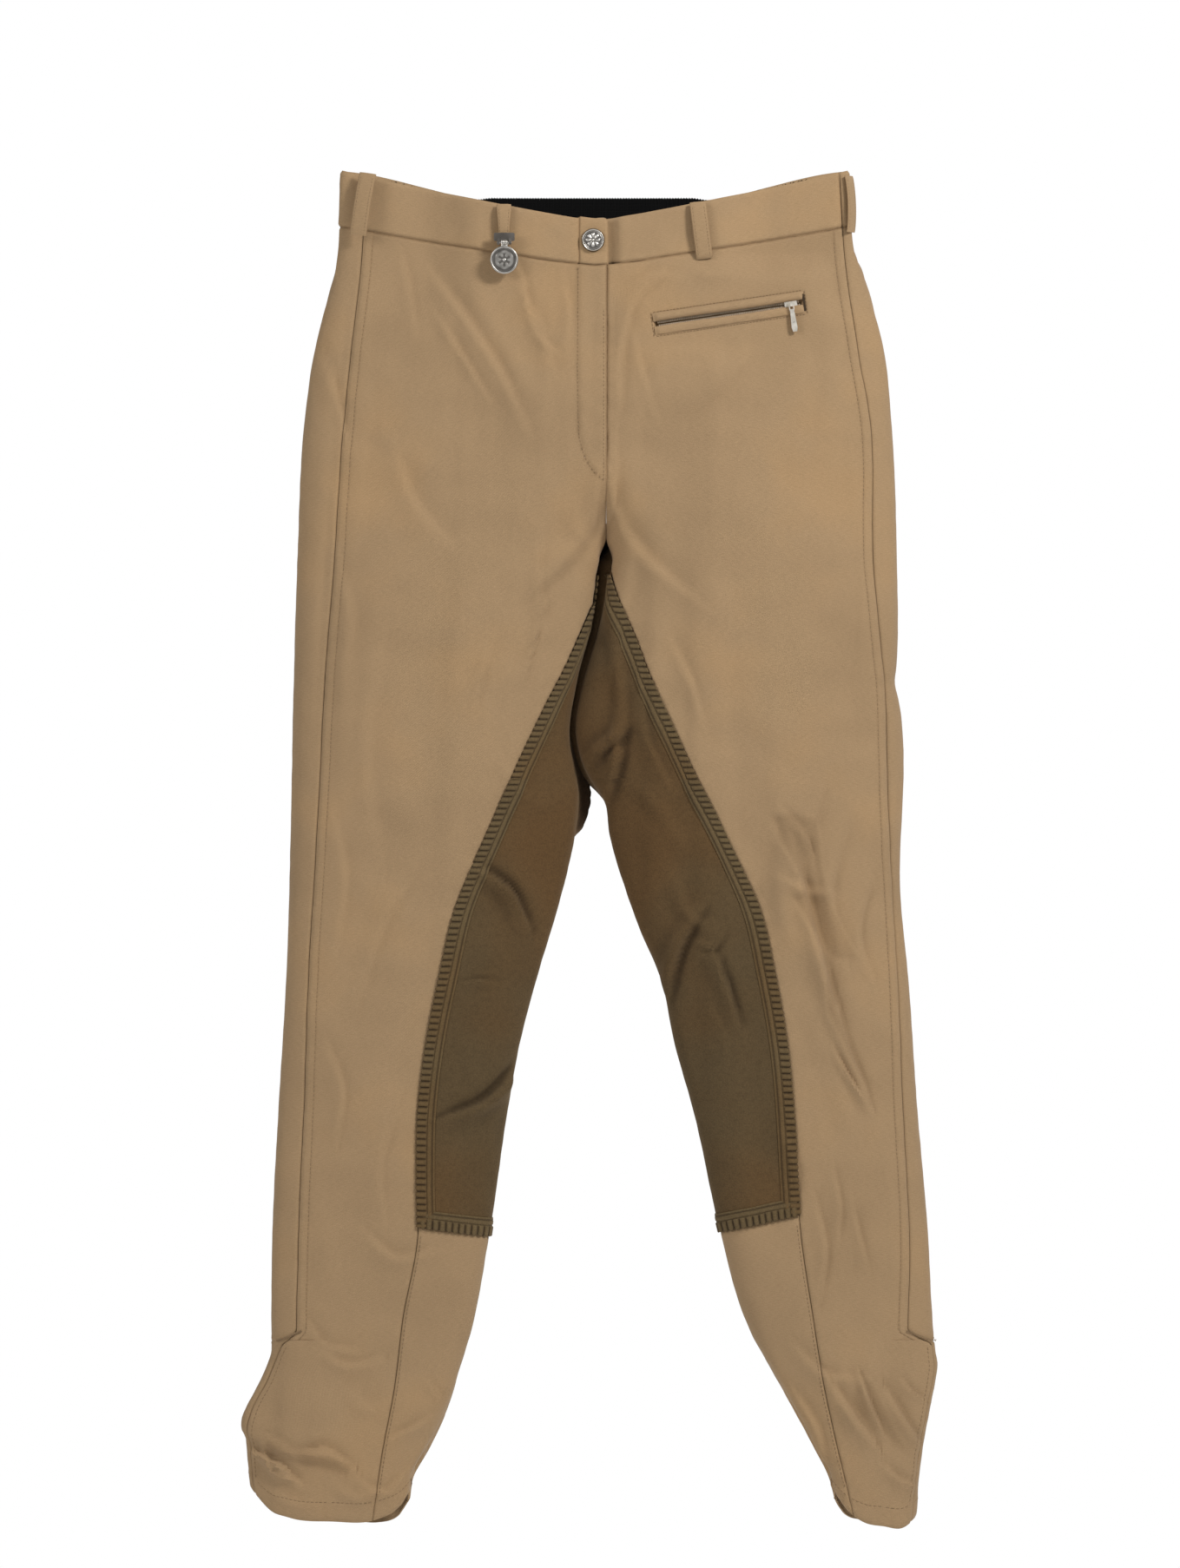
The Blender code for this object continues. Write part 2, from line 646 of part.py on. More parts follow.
def band_belt_loop(name, x_top, x_bottom, face, down=6.0):
    """A belt loop ending down below the waist seam, clear of the curve. Returns its y."""
    sign = -1 if face == FRONT else 1
    top = point_on(whole_line(WAIST_TOP - 1.0, face), x_top)
    bottom = point_on(whole_line(WAIST_SEAM - down, face), x_bottom)
    line = whole_line(WAIST_SEAM, face)
    bulge = float(np.interp(x_bottom, line[:, 0], line[:, 1]))
    edge = sign * max(sign * top.y, sign * bottom.y, sign * bulge) + sign * 0.4
    top.y = bottom.y = edge
    belt_loop(name, top, bottom, (0, sign, 0), (1, 0, 0))
    return bottom.y


charm_loop_y = band_belt_loop("belt_loop_front_right", -62.0, -62.0, FRONT, down=-4.0)
band_belt_loop("belt_loop_front_left", 79.0, 83.5, FRONT)
band_belt_loop("belt_loop_back", 12.0, 12.0, BACK)
belt_loop("belt_loop_side_right", (-162.5, -13.2, 979.0), (-169.5, -15.0, 936.0),
          out=(-0.25, -1, 0), across=(1, -0.25, 0))
left_edge = 0.8 + max(ring("left", level)[FRONT][0, 0]
                      for level in (WAIST_TOP, WAIST_SEAM, WAIST_SEAM - 6))
belt_loop("belt_loop_side_left", (left_edge, 0, 980.0), (left_edge, 0, 938.0),
          out=(1, 0, 0), across=(0, 1, 0), width=9.0, rise=3.0)


# ------------------------------------------------------------- hardware tools
# A place is the frame of a flat assembly: its x runs along it, its y across it, its z out of it
ALONG_X = Matrix.Rotation(math.pi / 2, 4, "Y")   # turns a shape's z axis along x
ALONG_Y = Matrix.Rotation(math.pi / 2, 4, "X")   # turns a shape's z axis along y
# Stands an outline up, so that it lies across and out of a place and is extruded along it
PROFILE_TURN = Matrix(((0, 0, 1, 0), (1, 0, 0, 0), (0, 1, 0, 0), (0, 0, 0, 1)))


def frame_at(origin, along, out):
    along, out = Vector(along).normalized(), Vector(out).normalized()
    across = out.cross(along).normalized()
    basis = Matrix((along, across, out)).transposed().to_4x4()
    return Matrix.Translation(Vector(origin) * MM) @ basis


def moved(place, along=0.0, across=0.0, out=0.0):
    return place @ Matrix.Translation((along * MM, across * MM, out * MM))


def pivot_at(name, place, parent=None):
    return pivot(name, place.translation / MM, parent)


def evaluated_mesh(name, obj):
    """The mesh of a helper object with its modifiers applied; the object is removed."""
    cutters.objects.link(obj)
    bpy.context.view_layer.update()
    graph = bpy.context.evaluated_depsgraph_get()
    mesh = bpy.data.meshes.new_from_object(obj.evaluated_get(graph))
    mesh.name = name
    bpy.data.objects.remove(obj)
    return mesh


def outline(name, loops, depth, place, look, hang=None):
    """Filled loops in the x-y plane of place, depth thick and centred on it."""
    data = bpy.data.curves.new(name, "CURVE")
    data.dimensions = "2D"
    data.fill_mode = "BOTH"
    data.extrude = depth / 2 * MM
    for loop in loops:
        line = data.splines.new("POLY")
        line.points.add(len(loop) - 1)
        for point, (x, y) in zip(line.points, loop):
            point.co = (x * MM, y * MM, 0, 1)
        line.use_cyclic_u = True
    mesh = evaluated_mesh(name, bpy.data.objects.new(name + "_outline", data))
    bm = bmesh.new()
    bm.from_mesh(mesh)
    bmesh.ops.remove_doubles(bm, verts=bm.verts, dist=1e-6)
    bmesh.ops.recalc_face_normals(bm, faces=bm.faces)
    bm.to_mesh(mesh)
    bm.free()
    mesh.transform(place)
    mesh.materials.clear()
    return finish(name, mesh, look, hang)


def turned(name, profile, place, look, hang=None, steps=24):
    """A turned shape about the z axis of place, from a profile of (radius, height)."""
    bm = bmesh.new()
    points = [bm.verts.new((radius * MM, 0, height * MM)) for radius, height in profile]
    for start, end in zip(points, points[1:]):
        bm.edges.new((start, end))
    mesh = bpy.data.meshes.new(name)
    bm.to_mesh(mesh)
    bm.free()
    obj = bpy.data.objects.new(name, mesh)
    screw = obj.modifiers.new("turn", "SCREW")
    screw.steps = screw.render_steps = steps
    screw.use_merge_vertices = True
    screw.merge_threshold = 0.00001
    screw.use_smooth_shade = True
    made = evaluated_mesh(name, obj)
    made.transform(place)
    return finish(name, made, look, hang)


def as_tool(name, bm, place, hang):
    mesh = bpy.data.meshes.new(name)
    bm.to_mesh(mesh)
    bm.free()
    mesh.transform(place)
    obj = bpy.data.objects.new(name, mesh)
    cutters.objects.link(obj)
    hang_on(obj, hang)
    obj.hide_render = True
    obj.display_type = "WIRE"
    return obj


def tool_box(name, low, high, place, hang=None):
    bm = bmesh.new()
    bmesh.ops.create_cube(bm, size=1)
    size = Vector(high) - Vector(low)
    middle = (Vector(high) + Vector(low)) / 2
    for vert in bm.verts:
        vert.co = Vector([vert.co[k] * size[k] + middle[k] for k in range(3)]) * MM
    return as_tool(name, bm, place, hang)


def tool_rod(name, radius, length, place, hang=None, sides=16):
    """A round tool along the z axis of place, centred on it."""
    bm = bmesh.new()
    bmesh.ops.create_cone(bm, cap_ends=True, segments=sides, radius1=radius * MM,
                          radius2=radius * MM, depth=length * MM)
    return as_tool(name, bm, place, hang)


def combine(obj, tool, operation):
    boolean = obj.modifiers.new(tool.name, "BOOLEAN")
    boolean.operation = operation
    boolean.solver = "EXACT"
    boolean.object = tool


def rounded(width, height, radius, steps=2):
    """A rounded rectangle as a loop of points."""
    loop = []
    for k, (sign_x, sign_y) in enumerate(((1, 1), (-1, 1), (-1, -1), (1, -1))):
        for i in range(steps + 1):
            angle = math.pi / 2 * (k + i / steps)
            loop.append((sign_x * (width / 2 - radius) + radius * math.cos(angle),
                         sign_y * (height / 2 - radius) + radius * math.sin(angle)))
    return loop


# ----------------------------------------------------------------- zip pieces
def zip_slider(name, place, bore_along, hang, eye_height):
    """H-shaped slider, its neck between the two rows of teeth, with an eye for the pull.

    The bore of the eye runs along the zip if bore_along, otherwise across it.
    """
    profile = [(-2.9, -2.5), (2.9, -2.5), (2.9, -1.6), (0.4, -1.52), (0.4, 1.52), (2.9, 1.6),
               (2.9, 2.5), (-2.9, 2.5), (-2.9, 1.6), (-0.4, 1.52), (-0.4, -1.52), (-2.9, -1.6)]
    slider = outline(name, [profile], 9.0, place @ PROFILE_TURN, "metal", hang)
    half_x, half_y = (0.8, 1.7) if bore_along else (1.7, 0.8)
    eye = tool_box(name + "_eye", (-half_x, -half_y, 2.0),
                   (half_x, half_y, eye_height + 1.6), place, hang)
    bore = moved(place, out=eye_height) @ (ALONG_X if bore_along else ALONG_Y)
    hole = tool_rod(name + "_hole", 1.1, 8.0, bore, hang, sides=12)
    combine(slider, eye, "UNION")
    combine(slider, hole, "DIFFERENCE")


def zip_tape(name, sign, length, width, place):
    """A tape starting at place, on its y side of that sign, with a ridge for its teeth."""
    profile = [(0.8, -1.2), (2.4, -1.2), (2.4, -0.4), (width, -0.4), (width, 0.4),
               (2.4, 0.4), (2.4, 1.2), (0.8, 1.2)]
    loop = [(across * sign, out) for across, out in profile]
    outline(name, [loop], length, moved(place, along=length / 2) @ PROFILE_TURN, "tape")


def zip_pull(name, length, place, hang):
    """A flat pull along -y of place, its top bar through the slider's eye."""
    border = [(-1.9, 0.6), (1.9, 0.6), (1.9, -4.0), (1.5, -5.0), (2.1, -length + 3),
              (1.5, -length), (-1.5, -length), (-2.1, -length + 3), (-1.5, -5.0), (-1.9, -4.0)]
    window = [(-1.2, -0.6), (-1.2, -3.6), (1.2, -3.6), (1.2, -0.6)]
    outline(name, [border, window], 1.1, place, "metal", hang)


# -------------------------------------------------------------- zipped pocket
POCKET_ZIP_DEPTH = 2.3    # zip behind the front surface
POCKET_EYE_HEIGHT = 5.3
# Fold of the lining, from its upper back edge down and up again: (across, out)
BAG_FOLD = [(9.0, -10.0), (-40.0, -10.0), (-92.0, -10.0), (-96.0, -8.2), (-92.0, -6.4),
            (-40.0, -6.4), (-8.0, -6.4)]


def zipped_pocket():
    inner = Vector((POCKET_INNER_X, float(pocket_plane(POCKET_INNER_X)), POCKET_INNER_Z))
    outer = Vector((POCKET_OUTER_X, float(pocket_plane(POCKET_OUTER_X)), POCKET_OUTER_Z))
    span = outer - inner
    length = span.length
    flat = Vector((span.x, span.y, 0)).normalized()
    place = frame_at(inner, span.normalized(), (flat.y, -flat.x, 0))

    slot = tool_box("pocket_slot", (0.5, -4.4, -6), (length - 0.5, 4.4, 6), place)
    combine(left_hip, slot, "DIFFERENCE")
    welt_loops = [rounded(length + 3, 17.0, 1.0), rounded(length - 3, 7.4, 1.2)[::-1]]
    outline("pocket_welt", welt_loops, 1.2, moved(place, along=length / 2, out=1.1), "twill")

    tape_place = moved(place, along=1.0, out=-POCKET_ZIP_DEPTH)
    zip_tape("pocket_zip_tape_upper", 1, length - 2, 9.0, tape_place)
    zip_tape("pocket_zip_tape_lower", -1, length - 2, 9.0, tape_place)
    slider_place = moved(place, along=length - 8.5, out=-POCKET_ZIP_DEPTH)
    slider_axis = pivot_at("pocket_slider_axis", slider_place)
    zip_slider("pocket_zip_slider", slider_place, True, slider_axis, POCKET_EYE_HEIGHT)
    pull_place = moved(slider_place, out=POCKET_EYE_HEIGHT)
    pull_axis = pivot_at("pocket_pull_axis", pull_place, slider_axis)
    zip_pull("pocket_zip_pull", 20.0, pull_place, pull_axis)

    rows = []
    for across, out in BAG_FOLD:
        rows.append([tuple((place @ Vector((along * MM, across * MM, out * MM))) / MM)
                     for along in np.linspace(3, length - 3, 3)])
    cloth("pocket_bag", grid_mesh("pocket_bag", rows), "lining", offset=0.0)


zipped_pocket()

# -------------------------------------------------------------------- the fly
FLY_ZIP_X = 2.0
FLY_ZIP_TOP_Z, FLY_ZIP_LOW_Z = 900.0, 764.0
FLY_EYE_HEIGHT = 4.1
FLY_FLAP_ROWS = [WAIST_SEAM - SEAM_GAP, 915.0, 885.0, 850.0, 815.0, FLY_END + 26.0]


def behind_fly(z, depth):
    """Y at a depth behind the front surface on the line of the fly zip."""
    return float(front_point("right", FLY_ZIP_X, z)[1]) + depth


def fly_flap():
    outwards = Vector((0, 0.3, 0))
    axis_low = Vector(front_point("right", CENTRE - 0.6, FLY_END)) - outwards
    axis_high = Vector(front_point("right", fly_fold_x(FLY_TOP), FLY_TOP)) - outwards
    axis = pivot("fly_flap_axis", (axis_low + axis_high) / 2)
    sheet("fly_flap", "right", strip_fly_flap, FLY_FLAP_ROWS, 2, "twill", axis)


def fly_zip():
    top = Vector((FLY_ZIP_X, behind_fly(FLY_ZIP_TOP_Z, 9.0), FLY_ZIP_TOP_Z))
    low = Vector((FLY_ZIP_X, behind_fly(FLY_ZIP_LOW_Z, 8.0), FLY_ZIP_LOW_Z))
    down = (low - top).normalized()
    out = Vector((1, 0, 0)).cross(down)
    if out.y > 0:
        out = -out
    place = frame_at(top, down, out)
    length = (low - top).length
    zip_tape("fly_zip_tape_right", -1, length, 10.0, place)
    zip_tape("fly_zip_tape_left", 1, length, 10.0, place)
    slider_place = moved(place, along=5.5)
    slider_axis = pivot_at("fly_slider_axis", slider_place)
    zip_slider("fly_zip_slider", slider_place, False, slider_axis, FLY_EYE_HEIGHT)
    # a quarter turn makes the pull hang down along the zip
    pull_place = moved(slider_place, out=FLY_EYE_HEIGHT) @ Matrix.Rotation(math.pi / 2, 4, "Z")
    pull_axis = pivot_at("fly_pull_axis", pull_place, slider_axis)
    zip_pull("fly_zip_pull", 14.0, pull_place, pull_axis)


def fly_underlap():
    """A strip of cloth behind the fly zip."""
    rows = []
    for z in (904.0, 870.0, 830.0, 790.0, 758.0):
        y = behind_fly(z, 17.0)
        rows.append([(x, y, z) for x in (-12.0, 3.0, 17.0)])
    outward_cloth("fly_underlap", rows, "twill")


fly_flap()
fly_zip()
fly_underlap()

# --------------------------------------------------------------- waist button
BUTTON_X, BUTTON_Z = 2.5, 931.5
BUTTON_BAND_LEVEL = 965.0     # level whose front line gives the face of the band
# Turned profiles: (radius, distance out of the band)
BUTTON_PROFILE = [(0.0, 4.6), (4.0, 4.5), (6.6, 4.0), (7.8, 4.4), (8.3, 3.8), (8.0, 3.1),
                  (6.4, 2.6), (3.4, 2.4), (3.4, 0.6), (2.1, 0.6), (2.1, 3.4), (0.0, 3.4)]
TACK_PROFILE = [(0.0, 2.8), (1.6, 2.8), (1.6, -3.6), (5.0, -3.6), (5.0, -4.6), (0.0, -4.6)]


def waist_button():
    line = whole_line(BUTTON_BAND_LEVEL, FRONT)
    band_y = float(np.interp(BUTTON_X, line[:, 0], line[:, 1]))
    place = frame_at((BUTTON_X, band_y, BUTTON_Z), (1, 0, 0), (0, -1, 0))
    axis = pivot_at("button_axis", place)
    turned("waist_button", BUTTON_PROFILE, place, "metal", axis)
    turned("button_tack", TACK_PROFILE, place, "metal")
    combine(band_right, tool_rod("tack_hole", 2.1, 14.0, place), "DIFFERENCE")
    # clears the head of the tack in the band behind
    combine(band_left, tool_rod("button_hole", 6.0, 14.0, moved(place, out=-5.5)), "DIFFERENCE")


waist_button()

# ----------------------------------------------------- charm on the belt loop
CHARM_X, CHARM_Z = -61.7, 933.0
CHARM_OUT = 7.4       # bracket in front of the belt loop's ends
EAR_X = 4.2           # middle of each ear from the middle of the bracket
PIN_BORE = 1.0        # radius of the holes round the pin
# (radius, distance out of the disc's middle)
MEDALLION_PROFILE = [(0.0, 0.9), (8.2, 0.8), (9.0, 1.2), (9.9, 1.0), (10.1, 0.2),
                     (10.1, -0.5), (9.6, -0.9), (0.0, -0.9)]
PIN_PROFILE = [(0.0, 5.4), (0.65, 5.4), (0.65, -5.4), (0.0, -5.4)]


def charm_bracket(place, pin_line):
    """A plate with two ears that hold the pin."""
    bracket = outline("charm_bracket", [rounded(15.0, 6.0, 1.0)], 1.2,
                      moved(place, across=0.5), "metal")
    for sign in (-1, 1):
        ear = tool_box("charm_ear_%d" % (sign + 2), (sign * EAR_X - 0.9, -5.2, 0.2),
                       (sign * EAR_X + 0.9, -0.2, 3.4), place)
        combine(bracket, ear, "UNION")
    bore = tool_rod("charm_bore", PIN_BORE, 14.0, pin_line, sides=12)
    combine(bracket, bore, "DIFFERENCE")


def charm_medallion(pin_place, pin_line):
    """A disc with a bored knuckle that swings on the pin."""
    axis = pivot_at("charm_axis", pin_place)
    disc = moved(pin_place, across=-12.6)
    medallion = turned("charm_medallion", MEDALLION_PROFILE, disc, "metal", axis)
    knuckle = tool_box("charm_knuckle", (-2.6, 8.8, -0.8), (2.6, 13.2, 0.9), disc, axis)
    combine(medallion, knuckle, "UNION")
    barrel = tool_rod("charm_barrel", 1.4, 5.2, pin_line, axis, sides=14)
    combine(medallion, barrel, "UNION")
    eye = tool_rod("charm_eye", PIN_BORE, 14.0, pin_line, axis, sides=12)
    combine(medallion, eye, "DIFFERENCE")


charm_place = frame_at((CHARM_X, charm_loop_y - CHARM_OUT, CHARM_Z), (1, 0, 0), (0, -1, 0))
charm_pin_place = moved(charm_place, across=-3.6, out=1.9)
charm_pin_line = charm_pin_place @ ALONG_X
charm_bracket(charm_place, charm_pin_line)
turned("charm_pin", PIN_PROFILE, charm_pin_line, "metal", steps=12)
charm_medallion(charm_pin_place, charm_pin_line)
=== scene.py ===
import math

import bmesh
import bpy
import numpy as np
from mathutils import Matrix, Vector


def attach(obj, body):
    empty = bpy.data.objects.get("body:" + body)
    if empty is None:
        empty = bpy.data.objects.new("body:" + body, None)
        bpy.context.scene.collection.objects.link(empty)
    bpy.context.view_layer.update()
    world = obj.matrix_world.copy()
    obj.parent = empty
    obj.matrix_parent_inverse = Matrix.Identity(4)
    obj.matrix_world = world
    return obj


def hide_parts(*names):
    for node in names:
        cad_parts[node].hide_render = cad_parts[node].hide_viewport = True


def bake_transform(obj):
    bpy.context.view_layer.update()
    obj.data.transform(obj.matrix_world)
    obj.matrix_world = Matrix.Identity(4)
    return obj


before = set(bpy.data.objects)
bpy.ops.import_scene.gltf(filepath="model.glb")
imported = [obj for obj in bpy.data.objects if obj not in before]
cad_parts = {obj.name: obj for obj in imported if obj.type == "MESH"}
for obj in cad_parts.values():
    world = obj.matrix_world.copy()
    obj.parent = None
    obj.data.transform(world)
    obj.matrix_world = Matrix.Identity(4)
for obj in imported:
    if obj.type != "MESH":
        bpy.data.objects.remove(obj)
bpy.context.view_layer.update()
MM = 0.001
SCENE = bpy.context.scene
SIDES = ("right", "left")

# ------------------------------------------------------------------ dimensions
# Heights
WAIST_TOP, WAIST_SEAM, YOKE_SEAM = 983.0, 942.0, 872.0
LEGS_PART, CROTCH = 717.0, 700.0
PANEL_SPLIT = 542.0  # where the thigh pieces meet the knee pieces
PATCH_END, SLIT_TOP = 218.0, 136.0
FLY_SPLIT = 742.0  # foot of the right front's upper piece
BAND_DEPTH = WAIST_TOP - WAIST_SEAM

CENTRE = 12.0  # x of the centre line
ROUNDNESS = 2.3  # exponent of the superellipse sections
FABRIC, SUEDE, BAND = 1.1, 1.3, 2.8  # thicknesses
PANEL_GAP = 0.22  # each panel stops this far short of its seam
CENTRE_GAP = 0.02

# (height, x) of the outer fold
OUTER = {
    "right": [
        (0, -246), (25, -248), (40, -249.2), (47, -249.6), (53, -252.4), (62, -252.6), (75, -248.6),
        (88, -243), (112, -234), (124, -231), (136, -231), (220, -230), (300, -226), (400, -220),
        (500, -217), (600, -215), (700, -212), (800, -207), (850, -200), (880, -193), (910, -185),
        (925, -182.5), (942, -181.5), (983, -180)],
    "left": [
        (0, 237), (30, 239), (60, 243), (88, 248), (104, 251), (116, 252.5), (126, 251), (136, 250),
        (220, 245), (300, 238), (400, 231), (450, 226), (600, 224), (612, 221.5), (622, 222.5),
        (700, 223), (800, 219), (850, 214), (880, 207), (910, 198), (925, 192), (942, 190),
        (983, 188)],
}
# (height, x) of the leg's inner fold
INNER = {
    "right": [
        (0, -131), (20, -128), (45, -116), (75, -104), (112, -94), (150, -84), (218, -72),
        (300, -60), (350, -51), (400, -38), (450, -23), (500, -11), (530, -8), (575, -15),
        (610, -10), (650, -0.5), (680, 3.6), (692, 5.2), (700, 7.2)],
    "left": [
        (0, 179), (20, 174), (45, 163), (75, 149), (112, 131), (150, 113), (218, 94), (300, 76),
        (350, 62), (400, 51), (430, 38), (460, 27), (500, 15), (525, 11), (548, -3), (575, -10),
        (610, -5), (650, 6.5), (680, 13.0), (692, 15.4), (700, 16.4)],
}
# (height, x) of the side seam, which runs down the front
SIDE = {
    "right": [
        (100, -213), (136, -213), (200, -212), (300, -208), (400, -204), (500, -198), (600, -193),
        (700, -185), (800, -178), (850, -173), (910, -166), (983, -162)],
    "left": [
        (100, 232), (136, 231.5), (200, 233), (300, 228), (400, 224), (500, 218), (600, 215),
        (700, 206), (800, 203), (850, 195), (910, 186), (983, 181)],
}
# (height, x) of the ankle flap's outer edge
FLAP_SIDE = {
    "right": [
        (0, -243), (22, -245.5), (43, -246.5), (57, -249), (74, -245.5), (100, -234), (120, -227),
        (130, -223.5), (136, -221)],
    "left": [
        (0, 234), (30, 236.5), (60, 240.5), (88, 245.5), (104, 248.5), (116, 250), (126, 249),
        (136, 248)],
}
# (height, x) of the suede's edge on the front
PATCH = {
    "right": [
        (0, -158), (50, -151), (100, -142), (150, -136), (212, -125), (250, -125), (300, -124),
        (350, -118), (400, -108), (450, -96), (475, -86), (500, -75), (550, -53), (600, -29),
        (625, -16), (650, -5), (675, 4), (700, 10)],
    "left": [
        (0, 192), (50, 181), (100, 171), (150, 163), (220, 153), (250, 151), (300, 148), (350, 143),
        (400, 134), (450, 122), (475, 111), (500, 99), (550, 74), (600, 51), (625, 40), (650, 30),
        (675, 20), (700, 14)],
}
# (height, share of the back's width from the inner end) of the suede's edge on the back
PATCH_BACK = [(0, 0.40), (218, 0.44), (300, 0.49), (450, 0.58), (600, 0.68), (700, 0.72),
              (800, 0.70), (872, 0.60), (983, 0.60)]
# (height, distance of the cloth from the y = 0 plane)
HIP_DEPTH = [(700, 34), (983, 21)]
SEAT_DEPTH = [(700, 34), (760, 38), (820, 40), (870, 36), (942, 25), (983, 21)]
LEG_DEPTH = [(0, 15), (60, 17), (136, 17), (218, 20), (320, 23), (430, 25), (560, 28), (655, 30),
             (760, 31)]
# (share of the way from the inner to the outer fold, rise of the hem)
HEM_LIFT = {
    "right": [(0, 24), (0.08, 13), (0.2, 6), (0.5, 4.5), (0.75, 7), (0.9, 14), (1, 27)],
    "left": [(0, 24), (0.12, 14), (0.35, 4), (0.6, 1), (0.85, 0), (1, 6)],
}
# (height, how far the suede bunches over behind the other leg)
BUNCH = {
    "left": [(0, 0), (520, 0), (535, 5), (550, 9), (575, 11), (600, 11), (625, 13), (650, 14),
             (675, 16), (690, 16), (700, 13), (710, 5), (717, 0), (983, 0)],
    "right": [(0, 0), (499, 0), (505, 7), (514, 10.5), (535, 11.5), (552, 8), (570, 3), (585, 0),
              (983, 0)],
}
FRONT_SAG, BACK_SAG = 29.0, 20.6  # how far the waist hangs below its ends
CLIPS = (-139.0, 150.0)  # x of two places where the waist is pinched flat
CLIP_FLAT, CLIP_HALF = 17.0, 6.5
FOLD_X = {"right": -198.0, "left": 222.0}  # where the ankle flaps hinge
POCKET_A, POCKET_B = (48.0, 870.5), (154.0, 886.5)  # ends (x, z) of the pocket's zip
# Bottom edge of the suede: heights at its outer corner and inner fold, and the x of those two
BOTTOM = {"right": ([(0, 218.6), (1, 211.7)], -125.0, -72.0),
          "left": ([(0, 227.0), (1, 214.5)], 152.0, 94.0)}
# (x, z) down the edge of the fly
FLY_LINE = [(-8.2, 942), (-8.4, 880), (-8.6, 840), (-8.2, 800), (-6.4, 784), (-2.2, 772),
            (4.0, 763), (12.0, 756)]


# -------------------------------------------------------------- curves and lines
def curve(table, at):
    """Smooth Hermite curve through the (key, value) rows of a table, held level past its ends."""
    rows = np.array(table, float)
    key, value = rows[:, 0], rows[:, 1]
    slope = np.gradient(value, key)
    at = np.clip(at, key[0], key[-1])
    i = np.clip(np.searchsorted(key, at) - 1, 0, len(key) - 2)
    step = key[i + 1] - key[i]
    t = (at - key[i]) / step
    return ((2 * t**3 - 3 * t**2 + 1) * value[i] + (t**3 - 2 * t**2 + t) * step * slope[i]
            + (3 * t**2 - 2 * t**3) * value[i + 1] + (t**3 - t**2) * step * slope[i + 1])


def smooth(low, high, at):
    t = np.clip((np.asarray(at, float) - low) / (high - low), 0, 1)
    return t * t * (3 - 2 * t)


def bell(at, width):
    return np.exp(-((at / width) ** 2))


def unit(vectors):
    vectors = np.asarray(vectors, float)
    return vectors / np.maximum(np.linalg.norm(vectors, axis=-1, keepdims=True), 1e-9)


def lengths(line):
    return np.concatenate([[0], np.cumsum(np.linalg.norm(np.diff(line, axis=0), axis=1))])


def sample(points, keys, at):
    """The rows of points, which stand at rising keys, read off at other places."""
    return np.column_stack([np.interp(at, keys, points[:, k]) for k in range(points.shape[1])])


def resample(line, count):
    along = lengths(line)
    return sample(line, along, np.linspace(0, along[-1], count))


def average(grid):
    """(sum of each cell's four neighbours)"""
    pad = np.pad(grid, [(1, 1), (1, 1)] + [(0, 0)] * (grid.ndim - 2), "edge")
    return pad[:-2, 1:-1] + pad[2:, 1:-1] + pad[1:-1, :-2] + pad[1:-1, 2:]


# --------------------------------------------------------------- body sections
def half_section(middle, half, depth, turn):
    angle = np.linspace(0, turn, 721)
    cos, sin = np.cos(angle), np.sin(angle)
    x = middle + half * np.sign(cos) * np.abs(cos) ** (2 / ROUNDNESS)
    return resample(np.column_stack([x, depth * np.abs(sin) ** (2 / ROUNDNESS)]), 301)


def pocket_plane(x):
    """y of the flat place the pocket's zip lies in."""
    return -25.4 + 6.8 * (x - POCKET_A[0]) / (POCKET_B[0] - POCKET_A[0])


def near_pocket(x, off_line, start, end, half):
    """1 on the pocket and 0 away from it; each pair gives distances over which it fades."""
    return (smooth(POCKET_A[0] - start[0], POCKET_A[0] - start[1], x)
            * (1 - smooth(POCKET_B[0] + end[0], POCKET_B[0] + end[1], x))
            * (1 - smooth(half[0], half[1], np.abs(off_line))))


